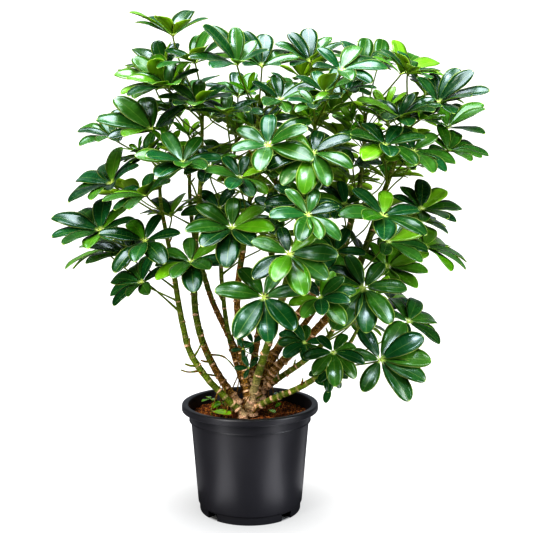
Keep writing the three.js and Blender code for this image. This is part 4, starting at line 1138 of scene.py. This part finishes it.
class StageSettings(bpy.types.PropertyGroup):
    """The floor and the lights."""

    floor_colour: setting("Floor", "Colour of the floor in the pot's shadow", "#5c5c5c")
    floor_bounce: setting("Floor bounce", "How much light the floor throws back", "#3e3e3e")
    floor_radius: setting("Floor radius", "Radius of the floor", 4.0, **LENGTH)
    # The floor's painted glow: its share at the pot's foot, where the painted shadow is darkest.
    floor_glow: setting("Floor glow", "How far the floor is white whatever light it gets", 0.5)
    overhead_watts: setting("Overhead light", "Power of the softbox overhead", 170.0, **POWER)
    key_watts: setting("Key light", "Power of the softbox above the camera's left", 80.0, **POWER)
    window_watts: setting("Window light", "Power of the small softbox over the plant's front", 34.0, **POWER)
    left_strip_watts: setting("Left light", "Power of the tall softbox on the left", 24.0, **POWER)
    right_strip_watts: setting("Right light", "Power of the tall softbox on the right", 36.0, **POWER)
    card_watts: setting("Low cards", "Power of each low card that streaks the pot", 0.56, **POWER)
    dim_side: setting("Dim side", "Brightness of the room on the camera's side", 0.012)
    bright_side: setting("Bright side", "Brightness of the backdrop", 0.5)


GROUPS = {"plant_pot": PotSettings, "plant_mix": MixSettings, "plant_stems": StemSettings,
          "plant_leaves": LeafSettings, "plant_stage": StageSettings}


# ---- the pot and the mix

POT_SIDES = 128
CORNER_STEPS = 4  # of the arc in place of a corner
HOLD = 0.4 * MM  # a narrow step beside each arc, which keeps the flats beyond it flat
FOOT_RADIUS, FOOT_HEIGHT = 89 * MM, 15 * MM
FLOOR_TOP = 6 * MM  # height of the floor inside
RIM_LIP, RIM_WIDTH = 12 * MM, 11 * MM  # how tall and how wide the lip is
BAND_FOOT_Z = 159 * MM
BEAD = 0.35 * MM  # how proud the fine bead is along the band's foot
NOTCHES = 4
NOTCH = Vector((36, 22, 24)) * MM  # reach, width and full height of the cutter of a drain notch
NOTCH_SILL = 14 * MM  # the mix stays this far above the floor by the wall, so no notch shows it
MIX_STEPS = 26  # rings of the mix's top
CHIP_SHAPES = 6


def turned_mesh(name, outline):
    """A closed body turned round +Z from its half outline, which starts and ends on the axis."""
    points, rings, faces = [], [], []
    for radius, z in outline:
        ring = ring_points(radius, z, POT_SIDES) if radius else [(0, 0, z)]
        rings.append(range(len(points), len(points) + len(ring)))
        points += ring
    for low, high in zip(rings, rings[1:]):
        for i in range(POT_SIDES):
            corners = [side[k % len(side)] for side, k in ((low, i), (low, (i + 1) % POT_SIDES),
                                                           (high, (i + 1) % POT_SIDES), (high, i))]
            faces.append(tuple(dict.fromkeys(corners)))
    return mesh_from(name, points, faces=faces)


def rounded(before, corner, after, radius):
    """An arc in place of a corner of an outline."""
    before, corner, after = (Vector(spot) for spot in (before, corner, after))
    into, out = (before - corner).normalized(), (after - corner).normalized()
    start, end = corner + into * radius, corner + out * radius
    arc = [start.lerp(corner, t).lerp(corner.lerp(end, t), t) for t in
           (i / CORNER_STEPS for i in range(CORNER_STEPS + 1))]
    return [tuple(spot) for spot in (start + into * HOLD, *arc, end + out * HOLD)]


def pot_outline(settings):
    """Half outline of the pot, from the middle of its underside, up its outside and back down."""
    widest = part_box("pot")[1]
    rim, top, foot, body_foot, body_top, band = (
        widest.x, widest.z, FOOT_RADIUS, 92 * MM, 104 * MM, 107 * MM)
    lip_under, wall, soft = top - RIM_LIP, settings.wall, settings.rim_rounding
    corners = [  # each with the radius that rounds it
        ((55 * MM, 0), 0), ((58 * MM, 3 * MM), 0), ((80 * MM, 3 * MM), 0), ((83 * MM, 0), 0),
        ((foot, 0), 1 * MM), ((foot + 0.8 * MM, FOOT_HEIGHT - 1 * MM), 0.4 * MM),
        ((body_foot, FOOT_HEIGHT), 0.8 * MM), ((body_top, BAND_FOOT_Z - 0.2 * MM), 0.3 * MM),
        ((band + BEAD, BAND_FOOT_Z), 0.4 * MM), ((band + BEAD, BAND_FOOT_Z + 1.4 * MM), 0.4 * MM),
        ((band, BAND_FOOT_Z + 2.4 * MM), 0.4 * MM), ((band + 1 * MM, lip_under), 1.2 * MM),
        ((rim, lip_under), soft), ((rim, top), soft * 1.4), ((rim - RIM_WIDTH, top - 0.6 * MM), soft),
        ((band - wall, BAND_FOOT_Z + wall), 1 * MM), ((body_top - wall, BAND_FOOT_Z - 1 * MM), 1 * MM),
        ((body_foot - wall, FOOT_HEIGHT + wall), 1 * MM), ((foot - wall, FLOOR_TOP), 1 * MM),
    ]
    ends = [(0, 0), (0, FLOOR_TOP)]
    spots = [ends[0], *(spot for spot, _ in corners), ends[1]]
    outline = [ends[0]]
    for before, (spot, soft_by), after in zip(spots, corners, spots[2:]):
        outline += rounded(before, spot, after, soft_by) if soft_by else [spot]
    return outline + [ends[1]]


class PLANT_OT_pot(bpy.types.Operator):
    """Moulds the nursery pot with its rim, band and drain notches"""

    bl_idname = "plant.pot"
    bl_label = "Pot"

    def execute(self, context):
        settings = context.scene.plant_pot
        pot = linked("nursery_pot", turned_mesh("nursery_pot", pot_outline(settings)))
        cutters = bmesh.new()
        for i in range(NOTCHES):
            for corner in bmesh.ops.create_cube(cutters, size=1)["verts"]:
                corner.co = corner.co * NOTCH + Vector((FOOT_RADIUS, 0, 0))
                corner.co.rotate(Quaternion(UP, (i + 0.5) * 2 * math.pi / NOTCHES))
        cutter = linked("notches", mesh_of("notches", cutters))
        cut = pot.modifiers.new("Notches", "BOOLEAN")
        cut.operation, cut.solver, cut.object = "DIFFERENCE", "EXACT", cutter
        pot.data = plain_mesh(pot)
        pot.modifiers.clear()
        bpy.data.objects.remove(cutter)
        pot.data.shade_smooth()
        pot.data.set_sharp_from_angle(angle=math.radians(40))
        pot.data.materials.clear()
        pot.data.materials.append(moulded_polypropylene(settings))
        seat(pot, "pot")
        return {"FINISHED"}


def chip_shapes(settings):
    """A few torn chips of bark and strands of coir, to be strewn, in a collection of their own."""
    chance = random.Random(5)
    shapes = bpy.data.collections.new("chip_shapes")
    for k in range(CHIP_SHAPES):
        made = bmesh.new()
        bmesh.ops.create_icosphere(made, subdivisions=1, radius=0.5)
        stretch = Vector((1, chance.uniform(0.2, 0.5), chance.uniform(0.12, 0.3))) * settings.chip_length
        for corner in made.verts:
            corner.co *= Vector([1 + chance.uniform(-0.32, 0.32) for _ in range(3)])
            corner.co *= stretch
        shapes.objects.link(bpy.data.objects.new(f"chip_{k}", mesh_of(f"chip_{k}", made)))
    return shapes


class PLANT_OT_mix(bpy.types.Operator):
    """Fills the pot with loose bark and coir"""

    bl_idname = "plant.mix"
    bl_label = "Potting mix"

    def execute(self, context):
        settings = context.scene.plant_mix
        low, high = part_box("potting_mix")
        radius, sill = high.x, low.z + NOTCH_SILL
        outline = [(0, low.z), (70 * MM, low.z), (72 * MM, sill), (88 * MM, sill + 1 * MM),
                   (radius - 3 * MM, MIX_EDGE - 12 * MM), (radius, MIX_EDGE - 4 * MM)]
        outline += [(radius * (1 - (i / MIX_STEPS) ** 1.2), MIX_EDGE + (MIX_TOP - MIX_EDGE) * i / MIX_STEPS)
                    for i in range(MIX_STEPS)] + [(0, MIX_TOP)]
        bed = turned_mesh("potting_mix_bed", outline)
        chance = np.random.default_rng(8)
        on_top = [corner.co.z > MIX_EDGE - 1 * MM for corner in bed.vertices]
        for corner, lump, top in zip(bed.vertices, chance.uniform(-1.6, 1.0, len(on_top)) * MM, on_top):
            corner.co.z += lump * top
        set_attribute(bed, "top", [all(on_top[i] for i in face.vertices) for face in bed.polygons], "FACE")
        set_attribute(bed, "chance", chance.uniform(0.0, 0.3, len(on_top)))
        shapes = chip_shapes(settings)
        grow("bark_mix", "potting_mix", "potting_mix", bed, chip_tree(), Chips=shapes,
             Chips_per_Square_Metre=settings.chips_per_area, Material=composted_bark(settings))
        for shape in list(shapes.objects):
            bpy.data.objects.remove(shape)
        bpy.data.collections.remove(shapes)
        return {"FINISHED"}


# ---- stems, leaves and seedlings

YOUNG_LOW, YOUNG_HIGH = 0.03, 0.2  # share of young leaves on the floor and at the crown's top
YOUNG_RIGHT_PAINTED_LIGHT = 0.25  # how much larger that share is at the crown's right end: more young leaves there, which also paint that side lighter, as painted light from the right
YOUNG_FRONT = -120 * MM  # in front of this the leaves are all grown
YOUNG_TRIES, YOUNG_MOST = 8, 3  # for the small leaves by a shoot's tip
SPROUT_HEIGHTS = (7 * MM, 15 * MM)  # of a first leaf's base and tip above the mix
SPROUT_FACE = Vector((0, -0.6, 0.8))  # the way that first leaves face
SPROUT_DEPTH, SPROUT_BULGE = 14 * MM, 2 * MM  # how far down their stalks go, how high they arch
SPROUT_SCALE = 0.6  # of their stalks to a grown leaf's
SEEDLING_AGE, SPROUT_AGE = 0.15, 0.2


class PLANT_OT_trunks(bpy.types.Operator):
    """Grows the bare woody stems, with their leaf scars"""

    bl_idname = "plant.trunks"
    bl_label = "Woody stems"

    def execute(self, context):
        settings = context.scene.plant_stems
        tree, pad, material = tube_tree(), scar_pad(), cane_bark(settings)
        for trunk in TRUNKS:
            tubes = []
            for stem in (stem for stem in STEMS.values() if stem.trunk == trunk):
                chance = random.Random(stem.name)
                tubes.append(stem_tube(stem, 0, stem.wood_end, settings, chance))
                tubes += stubs(stem, STEM_DEPTH, stem.wood_end, settings, chance)
                if stem.name == trunk:
                    tubes += roots(stem, settings, chance)
            grow("wood_" + trunk, "bark", "trunk_" + trunk, tube_lines(tubes), tree, Sides=22, Scar=pad,
                 Roughness=settings.bark_relief, Material=material)
        bpy.data.objects.remove(pad)
        return {"FINISHED"}


def leaf_age(leaf, chance):
    """1 for a grown leaf and less for a young one. More are young at the crown's top, and more at its right,
    which also paints that side lighter, as painted light from the right.
    """
    hub, crown = leaf["hub"], CAD_BOX[1]
    share_young = YOUNG_LOW + (YOUNG_HIGH - YOUNG_LOW) * hub.z / crown.z
    share_young = (share_young + YOUNG_RIGHT_PAINTED_LIGHT * max(0, hub.x / crown.x)) * (hub.y > YOUNG_FRONT)
    return chance.uniform(0.5, 0.85) if chance.random() < share_young else 1.0


class PLANT_OT_shoots(bpy.types.Operator):
    """Grows the green shoots, each with its petioles and glossy leaves"""

    bl_idname = "plant.shoots"
    bl_label = "Leafy shoots"

    def execute(self, context):
        maker, thicket = LeafMaker(context, "waxy_leaf"), Thicket()
        settings, pad = maker.stems, scar_pad()
        bark = cane_bark(settings)
        for name, stem in STEMS.items():
            chance, node = random.Random(name), "shoot_" + name
            leaves = read_leaves(node)
            for leaf in leaves:
                leaf["age"] = leaf_age(leaf, chance)
                fill_leaf(leaf, thicket, chance)
            tries = (young_leaf(stem, thicket, chance) for _ in range(YOUNG_TRIES))
            leaves += [leaf for leaf in tries if leaf][:YOUNG_MOST]
            leaves += [sprig(stem, *rest, thicket, chance) for owner, *rest in SPRIGS if owner == name]
            stretch = (stem, stem.wood_end, stem.length, settings, chance)
            grow("cane_" + name, "leaf", node, tube_lines([stem_tube(*stretch), *stubs(*stretch)]),
                 maker.tubes, Sides=16, Scar=pad, Roughness=settings.bark_relief * 0.4, Material=bark)
            petioles = [petiole_tube(leaf, stem.at(stem.nearest(leaf["petiole"][-1]))) for leaf in leaves]
            names = ("petioles_" + name, "leaves_" + name)
            maker.grow_leaves(names, "leaf", node, leaves, petioles, chance)
        bpy.data.objects.remove(pad)
        bpy.data.objects.remove(maker.blade)
        return {"FINISHED"}


class PLANT_OT_seedlings(bpy.types.Operator):
    """Sets the small seedlings in the mix"""

    bl_idname = "plant.seedlings"
    bl_label = "Seedlings"

    def execute(self, context):
        maker = LeafMaker(context, "young_waxy_leaf")
        for node, sprouts in SPROUTS.items():
            leaves = read_leaves(node)
            middles = [leaf["petiole"][-1] for leaf in leaves]
            top = sum(middles, Vector()) / len(middles)
            root = Vector((top.x, top.y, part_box(node)[0].z))
            for leaf in leaves:
                leaf["age"] = SEEDLING_AGE
                for blade in leaf["blades"]:
                    for key in ("middle", "tip"):
                        blade[key] = blade["hub"].lerp(blade[key], maker.settings.seedling_length)
                    blade["side"] *= maker.settings.seedling_breadth
            lines = [petiole_tube(leaf, top) for leaf in leaves]
            for *spots, half_width in sprouts:
                start, end = (place_at_height(*spot, MIX_TOP + rise)
                              for spot, rise in zip(spots, SPROUT_HEIGHTS))
                side = SPROUT_FACE.cross(end - start).normalized() * half_width * MM
                middle, foot = start.lerp(end, MIDDLE) + UP * SPROUT_BULGE, start - UP * SPROUT_DEPTH
                leaves.append(dict(age=SPROUT_AGE, hub=start, petiole=[start, foot], scale=SPROUT_SCALE,
                                   blades=[dict(hub=start, middle=middle, tip=end, side=side)]))
                lines.append(petiole_tube(leaves[-1], foot))
            lines.append([dict(at=root.lerp(top, t), radius=PETIOLE_RADIUS, reach=t * 0.5, **UNSCARRED)
                          for t in (0, 0.3, 0.6, 1)])
            names = (node + "_stalks", node + "_leaves")
            maker.grow_leaves(names, "young_leaf", node, leaves, lines, random.Random(node))
        bpy.data.objects.remove(maker.blade)
        return {"FINISHED"}


# ---- the stage

FLOOR_SIDES = 96
CROWN, MIDRIFF = (0.02, 0, 0.45), (0, 0, 0.6)  # what the softboxes aim at
# Softboxes: where each is, what it aims at, its width and height, and its colour.
SOFTBOXES = {
    "overhead": ((-0.3, -0.1, 3.2), CROWN, (2.0, 2.0), "#e6f0ff"),
    "key": ((-1.9, -2.4, 3.0), CROWN, (0.9, 0.9), "#fffdf6"),
    "window": ((0.7, -1.3, 2.2), CROWN, (0.45, 0.6), "#dfecff"),
    "left_strip": ((-1.2, -1.5, 0.8), MIDRIFF, (0.4, 1.6), "#ffffff"),
    "right_strip": ((1.75, -1.0, 0.9), MIDRIFF, (0.5, 1.6), "#f6faff"),
}
# Low cards of light that lie round the pot and streak it: where on its side each streak is, in
# degrees from its front, how far off the card starts, and its share of the power.
CARDS = {"left_card": (-26, 0.05, 0.9), "right_card": (26, 0.05, 1.15),
         "left_edge_card": (-68, 0.07, 0.16), "right_edge_card": (68, 0.07, 0.32)}
CARD_WIDTH, CARD_LENGTH = 0.1, 0.7
CARD_HEIGHT, CARD_LEAN = 45 * MM, 0.1  # over the floor, and how far it leans to the pot
POT_REACH = 0.1  # of the pot's side from its axis
ABOVE_SHARE = 0.22  # brightness of the room overhead, to that of the backdrop


def light_world(context, settings):
    """A studio: its backdrop is bright and its camera side dim. The camera sees pure white behind."""
    world = context.scene.world = bpy.data.worlds.new("studio")
    world.use_nodes = True
    add = partial(add_node, world.node_tree)
    studio, out = (next(n for n in world.node_tree.nodes if n.type == kind)
                   for kind in ("BACKGROUND", "OUTPUT_WORLD"))
    _, back, up = add("SeparateXYZ", add("TexCoord").outputs["Generated"]).outputs
    behind = add("MapRange", back, 0.4, 1.0, settings.dim_side, settings.bright_side,
                 interpolation_type="SMOOTHSTEP")
    above = add("MapRange", up, 0.2, 0.95, 0.0, settings.bright_side * ABOVE_SHARE)
    set_inputs(studio, linear("#eef5ff"), add("Math ADD", behind, above))
    set_inputs(out, add("MixShader", add("LightPath"), studio, add("Background", WHITE, 1.0)))


def add_light(name, spot, aim, watts, size, colour):
    """A flat light of this width and height, which the camera doesn't see."""
    light = bpy.data.lights.new(name, "AREA")
    light.energy, light.shape, light.color = watts, "RECTANGLE", linear(colour)[:3]
    light.size, light.size_y = size
    lamp = linked(name, light)
    lamp.location, lamp.rotation_mode, lamp.visible_camera = spot, "QUATERNION", False
    lamp.rotation_quaternion = (Vector(aim) - Vector(spot)).to_track_quat("-Z", "Y")


class PLANT_OT_stage(bpy.types.Operator):
    """Sets up the pale floor, the soft lights and the camera"""

    bl_idname = "plant.stage"
    bl_label = "Stage"

    def execute(self, context):
        settings = context.scene.plant_stage
        rim = ring_points(settings.floor_radius, 0, FLOOR_SIDES)
        floor = linked("floor", mesh_from("floor", rim, faces=[tuple(range(FLOOR_SIDES))]))
        # The floor glows to the camera and carries a painted shadow round the pot's foot.
        floor.data.materials.append(white_paper(settings))

        light_world(context, settings)
        for name, (spot, aim, size, colour) in SOFTBOXES.items():
            add_light(name, spot, aim, getattr(settings, name + "_watts"), size, colour)
        for name, (turn, gap, share) in CARDS.items():
            start, way = (Quaternion(UP, math.radians(t)) @ Vector((0, -1, 0)) for t in (turn, 2 * turn))
            spot = start * POT_REACH + way * (gap + CARD_LENGTH / 2) + UP * CARD_HEIGHT
            add_light(name, spot, spot + UP - way * CARD_LEAN, share * settings.card_watts,
                      (CARD_WIDTH, CARD_LENGTH), "#fbfbff")

        camera = linked("camera", bpy.data.cameras.new("camera"))
        camera.data.sensor_width = SENSOR
        camera.data.lens = SENSOR * FOCAL / PICTURE_SIDE
        camera.location = EYE
        camera.rotation_euler = (math.pi / 2 - EYE_TILT, 0, 0)
        context.scene.camera = camera
        context.scene.view_settings.view_transform = "Standard"
        context.scene.view_settings.look = "High Contrast"
        return {"FINISHED"}


# ---- panel and registration

OPERATORS = (PLANT_OT_stage, PLANT_OT_pot, PLANT_OT_mix, PLANT_OT_trunks, PLANT_OT_shoots,
             PLANT_OT_seedlings)


class PLANT_PT_panel(bpy.types.Panel):
    """Lists the plant's pieces and their sizes and colours"""

    bl_idname = "PLANT_PT_panel"
    bl_label = "Umbrella Plant"
    bl_space_type = "VIEW_3D"
    bl_region_type = "UI"
    bl_category = "Umbrella Plant"

    def draw(self, context):
        for operator in OPERATORS:
            self.layout.operator(operator.bl_idname)
        for key, group in GROUPS.items():
            box = self.layout.box()
            box.label(text=group.__doc__)
            for name in group.__annotations__:
                box.prop(getattr(context.scene, key), name)


CLASSES = (*GROUPS.values(), *OPERATORS, PLANT_PT_panel)


def register():
    for each in CLASSES:
        bpy.utils.register_class(each)
    for key, group in GROUPS.items():
        setattr(bpy.types.Scene, key, bpy.props.PointerProperty(type=group))


def unregister():
    for key in GROUPS:
        delattr(bpy.types.Scene, key)
    for each in reversed(CLASSES):
        bpy.utils.unregister_class(each)


def main():
    register()
    for name in ("stage", "pot", "mix", "trunks", "shoots", "seedlings"):
        getattr(bpy.ops.plant, name)()


if __name__ == "__main__":
    main()
